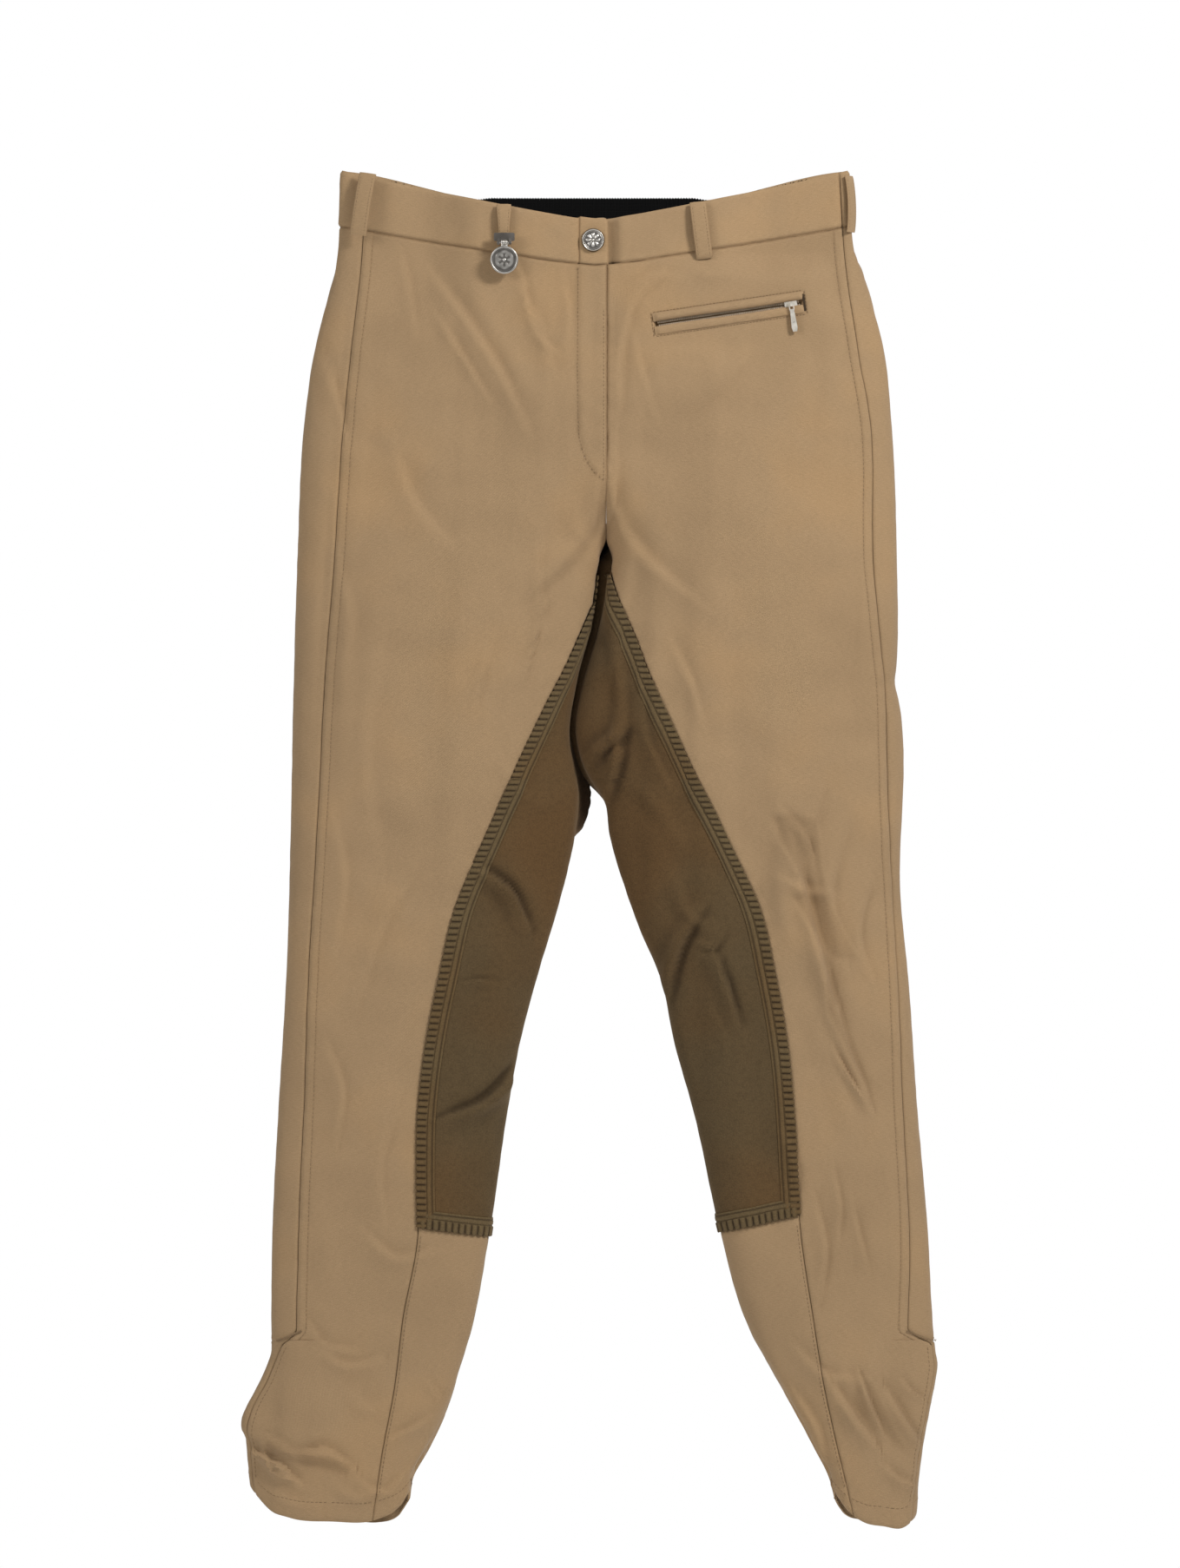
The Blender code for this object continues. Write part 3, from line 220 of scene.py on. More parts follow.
def section_lines(side, level):
    """The front and back lines of one side at a level, each from the outer fold inwards."""
    outer = float(curve(OUTER[side], level))
    inner = float(curve(INNER[side], min(level, CROTCH)))
    leg = half_section((outer + inner) / 2, (outer - inner) / 2,
                       float(curve(LEG_DEPTH, level)), math.pi)
    parted = float(1 - smooth(CROTCH, LEGS_PART, level))
    hollow = float(1 - smooth(CROTCH - 6, 764, level)) if level > CROTCH else 1.0
    leg_share = np.array([parted, hollow])
    held = float(smooth(868, WAIST_SEAM, level))
    lines = []
    for face, depths in ((-1, HIP_DEPTH), (1, SEAT_DEPTH)):
        wide = half_section(CENTRE, outer - CENTRE, float(curve(depths, level)), math.pi / 2)
        flat = wide * (1 - leg_share) + leg * leg_share
        x, y = flat[:, 0].copy(), face * flat[:, 1]
        for clip in CLIPS:
            near = (1 - smooth(CLIP_FLAT, 62, np.abs(x - clip))) * held
            y = y * (1 - near) + face * CLIP_HALF * near
        off_centre = np.abs(x - 4)
        if face < 0:
            sag = FRONT_SAG + 8.0 * max(0.0, level - WAIST_SEAM) / BAND_DEPTH
            dip = np.clip(1 - (off_centre / 184) ** 1.15, 0, 1)
        else:
            sag = BACK_SAG
            dip = 1 - smooth(72, 190, off_centre)
        z = level - sag * dip * smooth(800, WAIST_SEAM, level)
        if face < 0 and side == "left":
            inside = near_pocket(x, z - 879.5, (34, 5), (5, 24), (22, 44))
            y = y * (1 - inside) + pocket_plane(x) * inside
        if level < SLIT_TOP:
            share = np.clip((x - inner) / (outer - inner), 0, 1)
            lift = curve(HEM_LIFT[side], share)
            if face > 0:
                lift = lift - 6.5 * (1 - smooth(0.05, 0.4, share))
            z = z + lift * (1 - level / SLIT_TOP)
        if face > 0 and 499 < level < LEGS_PART:
            run = np.linspace(0, 1, len(x))
            bump = smooth(0.80, 0.93, run) * (1 - smooth(0.955, 1.0, run))
            way = -1 if side == "left" else 1
            x = x + way * max(0.0, float(curve(BUNCH[side], level))) * bump
        lines.append(np.column_stack([x, y, z]))
    return lines


class Section:
    """One section of one side. Places on it are distances sigma from the outer fold: minus along
    the front, plus along the back. Past the front's inner end, sigma goes on over the back."""

    def __init__(self, side, level):
        self.level = level
        self.front, self.back = front, back = section_lines(side, level)
        self.front_run, back_run = lengths(front), lengths(back)
        self.front_len, self.back_len = self.front_run[-1], back_run[-1]
        self.sigmas = np.concatenate([-self.front_run[::-1], back_run[1:]])
        self.line = np.vstack([front[::-1], back[1:]])
        self.sign = 1 if side == "right" else -1
        slant = float(np.clip((level - 132.5) / 9.5, 0, 1))
        seam_x = (slant * float(curve(SIDE[side], max(level, 132.5)))
                  + (1 - slant) * float(curve(FLAP_SIDE[side], level)))
        self.seam = self.front_along(seam_x)
        self.patch = self.front_len
        if level < CROTCH:
            self.patch = min(self.front_along(float(curve(PATCH[side], level))), self.front_len)
        inner, outer = front[-1, 0], front[0, 0]
        edge_x = inner + float(curve(PATCH_BACK, level)) * (outer - inner)
        self.edge = float(np.interp(self.sign * edge_x, self.sign * back[:, 0], back_run))
        self.fold = self.front_along(FOLD_X[side])

    def front_along(self, x):
        """Distance from the outer fold to x along the front."""
        return float(np.interp(self.sign * x, self.sign * self.front[:, 0], self.front_run))

    def points(self, sigma):
        """(points, face 0 or 1, share of the way from the outer fold to the inner end)"""
        sigma = np.asarray(sigma, float)
        over = sigma < -self.front_len
        use = np.where(over, self.back_len + (sigma + self.front_len), sigma)
        face = (use > 0).astype(int)
        share = np.where(face == 0, -use / self.front_len, use / self.back_len)
        return sample(self.line, self.sigmas, use), face, np.clip(share, 0, 1)


_sections = {}


def section(side, level):
    key = (side, round(float(level), 3))
    if key not in _sections:
        _sections[key] = Section(side, float(level))
    return _sections[key]


# Edges of the panels, as sigma on a section
def outer_front(cut):
    return -(cut.seam + PANEL_GAP)


def inner_front(cut):
    return -(cut.patch - PANEL_GAP) if cut.level < CROTCH else centre_front(cut)


def centre_front(cut):
    return -(cut.front_len - CENTRE_GAP)


def centre_back(cut):
    return cut.back_len - CENTRE_GAP


def outer_back(cut):
    return -(cut.seam - (PANEL_GAP if cut.level >= SLIT_TOP else 0.2))


def flap_edge(cut):
    return -(cut.seam + 0.4)


def flap_hinge(cut):
    return -(cut.fold + 9.0)


def inner_back(cut):
    return cut.edge - PANEL_GAP


def suede_front(cut):
    if cut.level < CROTCH:
        return -(cut.patch + PANEL_GAP)
    return -(cut.front_len + CENTRE_GAP)


def suede_back(cut):
    return -(cut.front_len + cut.back_len - (cut.edge + PANEL_GAP))


def binding_front(cut):
    return -cut.patch


def binding_back(cut):
    return -(cut.front_len + cut.back_len - cut.edge)


# ------------------------------------------------------------- folds and waves
PHASES = np.random.default_rng(7).uniform(0, 2 * math.pi, (24, 2))
ANGLES = np.random.default_rng(11).uniform(0, math.pi, 24)


def undulate(x, z, wavelength, seed):
    """Soft, smooth relief of about -1 to 1."""
    total = np.zeros_like(x, float)
    for k in range(6):
        j = (seed * 5 + k) % 24
        cos, sin = math.cos(ANGLES[j]), math.sin(ANGLES[j])
        rate = 2 * math.pi / (wavelength * (0.7 + 0.16 * k))
        bend = 1.3 * np.sin(rate * 0.43 * (z * cos - x * sin) + PHASES[j, 1])
        total += np.sin(rate * (x * cos + z * sin) + PHASES[j, 0] + bend)
    return total / 3.2


# Folds of the front, as (path of (x, z), half-width, height, kind). A "ridge" is a round welt;
# a "step" stands up on one side and falls off on the other.
FOLDS = [
    ([(-112, 906), (-92, 880), (-63, 835), (-46, 798)], 10, 2.0, "step"),
    ([(-88, 905), (-70, 868), (-40, 815)], 12, 1.1, "ridge"),
    ([(-52, 902), (-34, 868), (-26, 838)], 9, 0.9, "step"),
    ([(-137, 925), (-131, 902), (-126, 868)], 7, 1.0, "step"),
    ([(-112, 900), (-104, 866), (-100, 840)], 9, 0.8, "ridge"),
    ([(-18, 905), (-14, 880), (-16, 850)], 6, 0.8, "step"),
    ([(52, 905), (34, 886), (24, 850), (22, 808)], 9, 1.5, "step"),
    ([(70, 912), (88, 905), (104, 909)], 6, 0.9, "ridge"),
    ([(30, 900), (46, 908), (66, 906)], 6, 0.8, "step"),
    ([(60, 850), (40, 820), (20, 780)], 16, 1.2, "ridge"),
    ([(120, 862), (100, 830), (60, 800)], 16, 1.0, "step"),
    ([(172, 880), (176, 830), (168, 780)], 12, 1.2, "ridge"),
    ([(8, 760), (4, 730), (-14, 700), (-40, 676)], 12, 1.6, "step"),
    ([(16, 760), (26, 725), (50, 695), (78, 672)], 12, 1.6, "step"),
    ([(-60, 700), (-95, 650), (-110, 590)], 24, 1.4, "ridge"),
    ([(80, 690), (110, 640), (120, 560)], 24, 1.4, "ridge"),
    ([(-150, 640), (-160, 560), (-150, 480)], 20, 1.2, "step"),
    ([(-128, 470), (-150, 430), (-165, 385)], 14, 1.4, "step"),
    ([(166, 524), (154, 480), (162, 436), (178, 386)], 15, 2.6, "step"),
    ([(186, 505), (176, 462), (186, 410)], 13, 1.6, "step"),
    ([(146, 505), (138, 466), (146, 420)], 12, 2.6, "ridge"),
    ([(170, 402), (186, 352), (204, 306)], 9, 1.8, "step"),
    ([(160, 372), (176, 330), (190, 280)], 12, 1.4, "ridge"),
    ([(205, 470), (196, 430), (206, 396)], 9, 1.3, "step"),
    ([(-80, 478), (-58, 462), (-44, 434)], 8.5, 4.2, "step"),
    ([(-95, 393), (-80, 396), (-66, 394)], 4, 1.2, "step"),
    ([(-105, 297), (-78, 308), (-50, 336)], 8.5, 4.4, "step"),
    ([(-70, 560), (-48, 530), (-30, 520)], 9, 1.2, "ridge"),
    ([(-96, 360), (-84, 330), (-86, 290)], 8, 0.8, "ridge"),
    ([(80, 444), (67, 421), (57, 380)], 9, 4.2, "step"),
    ([(92, 414), (100, 392), (108, 366)], 8, 3.2, "step"),
    ([(60, 470), (70, 446), (92, 430)], 8, 2.4, "ridge"),
    ([(14, 668), (20, 625), (22, 590), (14, 560)], 8, 3.4, "ridge"),
    ([(25, 575), (15, 566), (4, 555)], 7.5, 4.2, "step"),
    ([(38, 620), (42, 575), (60, 535)], 8, 1.4, "step"),
    ([(30, 540), (50, 520), (66, 490)], 9, 1.6, "ridge"),
    ([(-249, 57), (-226, 46), (-208, 30)], 6, 2.4, "step"),
    ([(-232, 24), (-215, 16), (-198, 14)], 5, 1.2, "ridge"),
    ([(-175, 96), (-160, 84), (-146, 88)], 8, 1.2, "ridge"),
    ([(-150, 62), (-132, 70), (-118, 78)], 6, 1.4, "step"),
    ([(216, 98), (228, 78), (238, 62)], 8, 2.6, "step"),
    ([(176, 104), (190, 84), (206, 62)], 11, 3.2, "step"),
    ([(205, 130), (200, 100), (206, 60)], 10, 1.2, "ridge"),
    ([(150, 130), (170, 112), (196, 108)], 9, 1.3, "step"),
    ([(-200, 250), (-190, 200), (-196, 150)], 12, 0.9, "ridge"),
    ([(210, 300), (216, 240), (210, 180)], 12, 1.1, "ridge"),
    ([(144, 507), (158, 452), (177, 381), (201, 316)], 9, 2.0, "step"),
    ([(141, 518), (156, 500), (164, 469)], 7, 1.7, "step"),
    ([(140, 470), (156, 463), (176, 460)], 8, 1.4, "step"),
    ([(150, 486), (158, 470), (168, 458)], 7, 1.0, "ridge"),
    ([(177, 346), (188, 326), (204, 303)], 4, 1.8, "step"),
    ([(184, 372), (196, 340), (205, 322)], 6, 1.0, "ridge"),
    ([(190, 236), (196, 212), (202, 188)], 7, 1.0, "step"),
    ([(176, 262), (182, 232), (180, 206)], 7, 0.9, "step"),
    ([(196, 110), (204, 88), (213, 68)], 4, 1.7, "step"),
    ([(226, 106), (234, 98), (243, 91)], 4, 1.4, "step"),
    ([(182, 118), (188, 92), (190, 62)], 8, 1.0, "ridge"),
    ([(98, 432), (88, 418), (80, 420)], 4, 1.5, "step"),
    ([(25, 577), (22, 556), (14, 528)], 8, 3.4, "step"),
    ([(88, 372), (96, 356), (98, 330)], 6, 1.0, "ridge"),
    ([(-185, 520), (-176, 470), (-182, 420)], 10, 0.9, "step"),
    ([(-140, 300), (-150, 262), (-148, 220)], 12, 0.9, "step"),
    ([(-205, 150), (-190, 132), (-170, 128)], 7, 1.0, "step"),
    ([(-120, 108), (-108, 96), (-100, 86)], 5, 1.0, "step"),
    ([(-236, 60), (-228, 40), (-212, 34)], 4, 1.5, "step"),
    ([(-212, 60), (-200, 50), (-186, 48)], 6, 1.0, "ridge"),
    ([(-168, 34), (-150, 26), (-134, 40)], 6, 1.0, "step"),
    ([(-112, 880), (-90, 846), (-70, 812)], 5, 1.1, "step"),
    ([(-46, 890), (-36, 862), (-22, 850)], 5, 0.9, "step"),
    ([(-60, 925), (-48, 905), (-44, 880)], 5, 0.9, "step"),
    ([(-30, 670), (-40, 640), (-46, 610)], 4, 1.3, "step"),
    ([(-70, 640), (-78, 610), (-84, 590)], 6, 1.1, "step"),
    ([(60, 640), (74, 612), (82, 584)], 8, 1.0, "step"),
    ([(30, 880), (38, 840), (50, 800)], 7, 0.8, "step"),
    ([(-160, 800), (-120, 770), (-80, 760)], 14, 1.0, "ridge"),
    ([(-200, 860), (-186, 830), (-176, 790)], 8, 1.1, "step"),
    ([(20, 790), (18, 740), (8, 716)], 9, 1.3, "step"),
    ([(-12, 742), (-10, 722), (4, 708)], 7, 1.2, "ridge"),
    ([(-34, 720), (-36, 690), (-30, 650)], 7, 1.1, "step"),
    ([(-140, 780), (-124, 740), (-100, 712)], 13, 1.2, "step"),
    ([(-180, 700), (-172, 660), (-176, 610)], 12, 1.0, "step"),
    ([(-190, 350), (-178, 320), (-182, 280)], 10, 1.2, "step"),
    ([(-160, 212), (-140, 196), (-112, 200)], 9, 1.3, "step"),
    ([(-196, 128), (-176, 118), (-150, 122)], 8, 1.4, "step"),
    ([(-232, 64), (-212, 54), (-190, 56), (-172, 44)], 8, 2.4, "step"),
    ([(-186, 30), (-168, 20), (-150, 26)], 6, 1.4, "ridge"),
    ([(140, 290), (150, 262), (148, 232)], 8, 1.3, "step"),
    ([(164, 236), (172, 200), (168, 168)], 9, 1.4, "step"),
    ([(150, 96), (166, 70), (172, 44)], 8, 1.6, "step"),
    ([(214, 44), (226, 34), (238, 30)], 6, 1.4, "step"),
]
BACK_FOLDS = [
    ([(12, 742), (-20, 712), (-70, 690)], 10, 2.4, "step"),
    ([(12, 742), (44, 712), (96, 690)], 10, 2.4, "step"),
    ([(8, 716), (-30, 676), (-90, 650)], 12, 2.0, "ridge"),
    ([(16, 716), (54, 676), (114, 650)], 12, 2.0, "ridge"),
    ([(-120, 860), (-70, 800), (-40, 770)], 22, 1.6, "step"),
    ([(140, 860), (94, 800), (60, 770)], 22, 1.6, "step"),
    ([(-60, 460), (-110, 430), (-170, 438)], 10, 2.2, "step"),
    ([(-40, 430), (-100, 400), (-180, 402)], 11, 1.8, "ridge"),
    ([(60, 462), (120, 432), (190, 440)], 10, 2.2, "step"),
    ([(60, 426), (130, 398), (200, 405)], 11, 1.8, "ridge"),
    ([(-110, 120), (-160, 90), (-220, 96)], 9, 1.8, "step"),
    ([(140, 130), (190, 96), (238, 100)], 9, 1.8, "step"),
    ([(-160, 620), (-150, 560), (-120, 520)], 16, 1.4, "ridge"),
    ([(170, 620), (160, 560), (134, 520)], 16, 1.4, "ridge"),
]
# Flat places between the folds of the front: corners (x, z), the line each is hinged on (its
# right-hand or upper side stands out), and the slope.
FACETS = [
    ([(131, 514), (148, 517), (166, 514), (167, 498), (168, 480), (175, 451), (195, 411),
      (175, 411), (162, 430), (146, 455), (157, 463), (145, 484), (136, 499)],
     ((150, 516), (184, 411)), 0.20),
    ([(175, 405), (181, 393), (179, 375), (188, 353), (207, 312), (193, 331), (181, 353),
      (171, 375), (170, 393)],
     ((177, 405), (205, 314)), 0.26),
    ([(196, 112), (206, 104), (224, 66), (232, 52), (218, 60), (204, 84)],
     ((200, 112), (226, 56)), 0.20),
    ([(-236, 66), (-206, 56), (-170, 46), (-176, 36), (-206, 44), (-232, 50)],
     ((-236, 58), (-172, 41)), 0.16),
]


def box_round(outline, margin, x, z):
    low, high = outline.min(0) - margin, outline.max(0) + margin
    return (x > low[0]) & (x < high[0]) & (z > low[1]) & (z < high[1])


def off_segment(x, z, start, run):
    """(share along the segment, x offset and z offset from the nearest place on it)"""
    share = np.clip(((x - start[0]) * run[0] + (z - start[1]) * run[1]) / (run @ run), 0, 1)
    return share, x - start[0] - share * run[0], z - start[1] - share * run[1]


def facets(x, z):
    """(how far the facets stand out, 0 to 1 inside them)"""
    total, mask = np.zeros_like(x, float), np.zeros_like(x, float)
    for corners, (start, end), slope in FACETS:
        corners = np.array(corners, float)
        near = box_round(corners, 4, x, z)
        if not near.any():
            continue
        near_x, near_z = x[near], z[near]
        away = np.full(near_x.shape, 1e9)
        inside = np.zeros(near_x.shape, bool)
        for here, there in zip(corners, np.roll(corners, -1, axis=0)):
            run = there - here
            _, off_x, off_z = off_segment(near_x, near_z, here, run)
            away = np.minimum(away, np.hypot(off_x, off_z))
            rise = run[1] if abs(run[1]) > 1e-9 else 1e-9
            crossed = near_x < here[0] + (near_z - here[1]) * run[0] / rise
            inside ^= ((here[1] > near_z) != (there[1] > near_z)) & crossed
        face = smooth(-1.2, 3.0, np.where(inside, away, -away))
        along = unit(np.array(end, float) - np.array(start, float))
        out = -(near_x - start[0]) * along[1] + (near_z - start[1]) * along[0]
        total[near] += face * slope * 9 * np.tanh(out / 9)
        mask[near] = np.maximum(mask[near], face)
    return total, mask


def fold_relief(x, z, folds):
    total = np.zeros_like(x, float)
    for path, width, height, kind in folds:
        width, height = 0.66 * width, 1.15 * height
        path = np.array(path, float)
        keys = lengths(path)
        dense = np.linspace(0, keys[-1], 25)
        line = np.column_stack([curve(np.column_stack([keys, path[:, k]]), dense)
                                for k in range(2)])
        near = box_round(line, 3 * width, x, z)
        if not near.any():
            continue
        near_x, near_z = x[near], z[near]
        best = np.full(near_x.shape, 1e9)
        signed = np.zeros(near_x.shape)
        share = np.zeros(near_x.shape)
        for k in range(len(line) - 1):
            run = line[k + 1] - line[k]
            part, off_x, off_z = off_segment(near_x, near_z, line[k], run)
            away = np.hypot(off_x, off_z)
            closer = away < best
            best = np.where(closer, away, best)
            turn = np.sign(off_x * run[1] - off_z * run[0])
            signed = np.where(closer, turn * away, signed)
            share = np.where(closer, (k + part) / (len(line) - 1), share)
        taper = np.sin(np.pi * np.clip(share * 0.86 + 0.07, 0, 1)) ** 0.8
        if kind == "ridge":
            shape = bell(best, width)
        else:
            shape = (1.15 * np.tanh(2.6 * signed / width) * bell(best, 1.25 * width)
                     + 0.45 * bell(best, 2.2 * width))
        total[near] += height * shape * taper
    return total


def fly_x(z):
    path = np.array(FLY_LINE, float)[::-1]
    return np.interp(z, path[:, 1], path[:, 0])


def relief(points):
    """How far points stand out from the smooth body, before seams are drawn."""
    x, y, z = points[..., 0], points[..., 1], points[..., 2]
    front = 1 - smooth(-9, -2, y)
    back = smooth(2, 9, y)
    free = 1 - smooth(905, 942, z)
    total = (fold_relief(x, z, FOLDS) + facets(x, z)[0]) * front
    total = total + fold_relief(x, z, BACK_FOLDS) * back
    broad = 0.9 * undulate(x, z, 105, 1) + 0.42 * undulate(x, z, 46, 2)
    total = total + free * broad * (front + back)
    total = total + free * 0.10 * undulate(x, z, 19, 3)
    # the fly stands proud, with a groove along its edge
    off_fly = x - fly_x(z)
    inside = smooth(-0.9, 0.9, off_fly) * smooth(754, 762, z) * (x < 12.4)
    proud = 0.85 * inside * (1 + 0.5 * undulate(x, z, 30, 7))
    groove = 0.6 * bell(off_fly, 1.0) * (z > 760) * (z < 940)
    total = total + front * (proud - groove)
    off_pocket = z - 878.5 - (x - 100) * 0.15
    return total * (1 - near_pocket(x, off_pocket, (20, 4), (4, 18), (14, 26)) * front)


# -------------------------------------------------------------- cloth simulation
SIM_PITCH = 6.0
SIM_LEVELS = np.arange(WAIST_SEAM, -0.1, -SIM_PITCH)
SIM_COLS = 40  # columns from the outer fold to the inner end, on each face
SIM_FRAMES = 22
SIM_SHARES = np.linspace(0, 1, SIM_COLS + 1)
DRAPE = {}  # (side, face): how far each point of the sheet moves


def sheet_points():
    """The points of the welded sheet, and their index by (side, face, row, column)."""
    verts, index = [], {}
    for side in SIDES:
        for i, level in enumerate(SIM_LEVELS):
            cut = section(side, level)
            for face, length in ((0, cut.front_len), (1, cut.back_len)):
                points = cut.points(SIM_SHARES * length * (-1 if face == 0 else 1))[0]
                for k in range(SIM_COLS + 1):
                    key = (side, face, i, k)
                    if k == 0 and face == 1:
                        index[key] = index[(side, 0, i, 0)]
                        continue
                    if k == SIM_COLS:
                        if level >= CROTCH and side == "left":
                            index[key] = index[("right", face, i, k)]
                            continue
                        if level < CROTCH and face == 1:
                            index[key] = index[(side, 0, i, k)]
                            continue
                    index[key] = len(verts)
                    verts.append(points[k])
    return np.array(verts), index


def sheet_faces(index):
    faces = []
    for side in SIDES:
        for i in range(len(SIM_LEVELS) - 1):
            for face in (0, 1):
                for k in range(SIM_COLS):
                    corners = ((i, k), (i, k + 1), (i + 1, k + 1), (i + 1, k))
                    quad = tuple(index[(side, face, row, col)] for row, col in corners)
                    if (side == "right") != (face == 0):
                        quad = quad[::-1]
                    if len(set(quad)) == 4:
                        faces.append(quad)
    return faces


def simulate():
    """Hangs the garment as one welded sheet pinned at the waist and keeps every point's move."""
    verts, index = sheet_points()
    mesh = bpy.data.meshes.new("drape_sheet")
    mesh.from_pydata([tuple(v * MM) for v in verts], [], sheet_faces(index))
    mesh.update()
    sheet = bpy.data.objects.new("drape_sheet", mesh)
    SCENE.collection.objects.link(sheet)
    pins = sheet.vertex_groups.new(name="pin")
    for i, weight in enumerate(smooth(880, 925, verts[:, 2])):
        if weight > 0.001:
            pins.add([i], float(weight), "REPLACE")
    cloth = sheet.modifiers.new("Cloth", "CLOTH")
    settings = cloth.settings
    settings.quality = 4
    settings.mass = 0.25
    settings.tension_stiffness = settings.compression_stiffness = 12
    settings.shear_stiffness = 6
    settings.bending_stiffness = 0.35
    settings.air_damping = 2.0
    settings.vertex_group_mass = "pin"
    settings.shrink_min = -0.022
    settings.use_pressure = True
    settings.uniform_pressure_force = 0.35
    cloth.collision_settings.use_collision = False
    cloth.point_cache.frame_start, cloth.point_cache.frame_end = 1, SIM_FRAMES
    for frame_number in range(1, SIM_FRAMES + 1):
        SCENE.frame_set(frame_number)
    hung = sheet.evaluated_get(bpy.context.evaluated_depsgraph_get())
    made = hung.to_mesh()
    out = np.empty(len(made.vertices) * 3, np.float32)
    made.vertices.foreach_get("co", out)
    moved = out.reshape(-1, 3) / MM - verts
    hung.to_mesh_clear()
    bpy.data.objects.remove(sheet)
    SCENE.frame_set(1)
    for side in SIDES:
        for face in (0, 1):
            DRAPE[(side, face)] = np.array(
                [[moved[index[(side, face, i, k)]] for k in range(SIM_COLS + 1)]
                 for i in range(len(SIM_LEVELS))])


def tame_drape():
    """Takes the overall sag and swelling out of the simulated move, and caps what is left."""
    cap = 2.4
    # the outer fold and the middle stay where the pattern puts them
    hold = smooth(0.0, 0.10, SIM_SHARES) * (0.25 + 0.75 * (1 - smooth(0.90, 1.0, SIM_SHARES)))
    for (side, face), grid in DRAPE.items():
        wide = grid.copy()
        for _ in range(60):
            wide = (average(wide) + 4 * wide) / 8
        local = grid - 0.85 * wide
        local[..., 0] *= 0.5
        local[..., 2] *= 0.5
        size = np.linalg.norm(local, axis=2, keepdims=True)
        local *= (0.55 - 0.27 * smooth(640, 740, SIM_LEVELS))[:, None, None]
        local *= cap * np.tanh(size / cap) / np.maximum(size, 1e-9)
        local *= hold[None, :, None]
        local *= (1 - smooth(890, 935, SIM_LEVELS))[:, None, None]
        if side == "left" and face == 0:
            for i, level in enumerate(SIM_LEVELS):
                cut = section(side, level)
                points = cut.points(-SIM_SHARES * cut.front_len)[0]
                flat = near_pocket(points[:, 0], points[:, 2] - 878.5, (24, 4), (4, 20), (16, 34))
                local[i] *= (1 - flat)[:, None]
        DRAPE[(side, face)] = local


def cubic_weights(t):
    """Weights of four neighbouring values for a cubic read at share t between the middle two."""
    return np.stack([-0.5 * t + t**2 - 0.5 * t**3, 1 - 2.5 * t**2 + 1.5 * t**3,
                     0.5 * t + 2 * t**2 - 1.5 * t**3, -0.5 * t**2 + 0.5 * t**3], -1)


def drape_at(side, level, face, share):
    total = np.zeros((len(share), 3))
    if not DRAPE:
        return total
    place = np.clip((WAIST_SEAM - level) / SIM_PITCH, 0, len(SIM_LEVELS) - 1.0001)
    row0 = int(place)
    row_weights = cubic_weights(np.array([place - row0]))[0]
    for which in (0, 1):
        use = face == which
        if not use.any():
            continue
        grid = DRAPE[(side, which)]
        across = np.clip(share[use] * SIM_COLS, 0, SIM_COLS - 1e-4)
        col0 = across.astype(int)
        col_weights = cubic_weights(across - col0)
        part = np.zeros((use.sum(), 3))
        for i in range(4):
            row = np.clip(row0 - 1 + i, 0, grid.shape[0] - 1)
            for j in range(4):
                col = np.clip(col0 - 1 + j, 0, grid.shape[1] - 1)
                part += row_weights[i] * col_weights[:, j][:, None] * grid[row, col]
        total[use] = part
    return total


def surface_row(side, level, sigma):
    """Points of the draped cloth on one section."""
    points, face, share = section(side, level).points(sigma)
    return points + drape_at(side, level, face, share)


simulate()
tame_drape()


# -------------------------------------------------------------------- materials
BAND_SPACING = 0.314  # a wave texture of scale 1 repeats about this often, in metres
BLACK, WHITE = (0, 0, 0), (1, 1, 1)


def grey(value):
    return (value, value, value)


def scaled(colour, factor):
    return tuple(channel * factor for channel in colour)


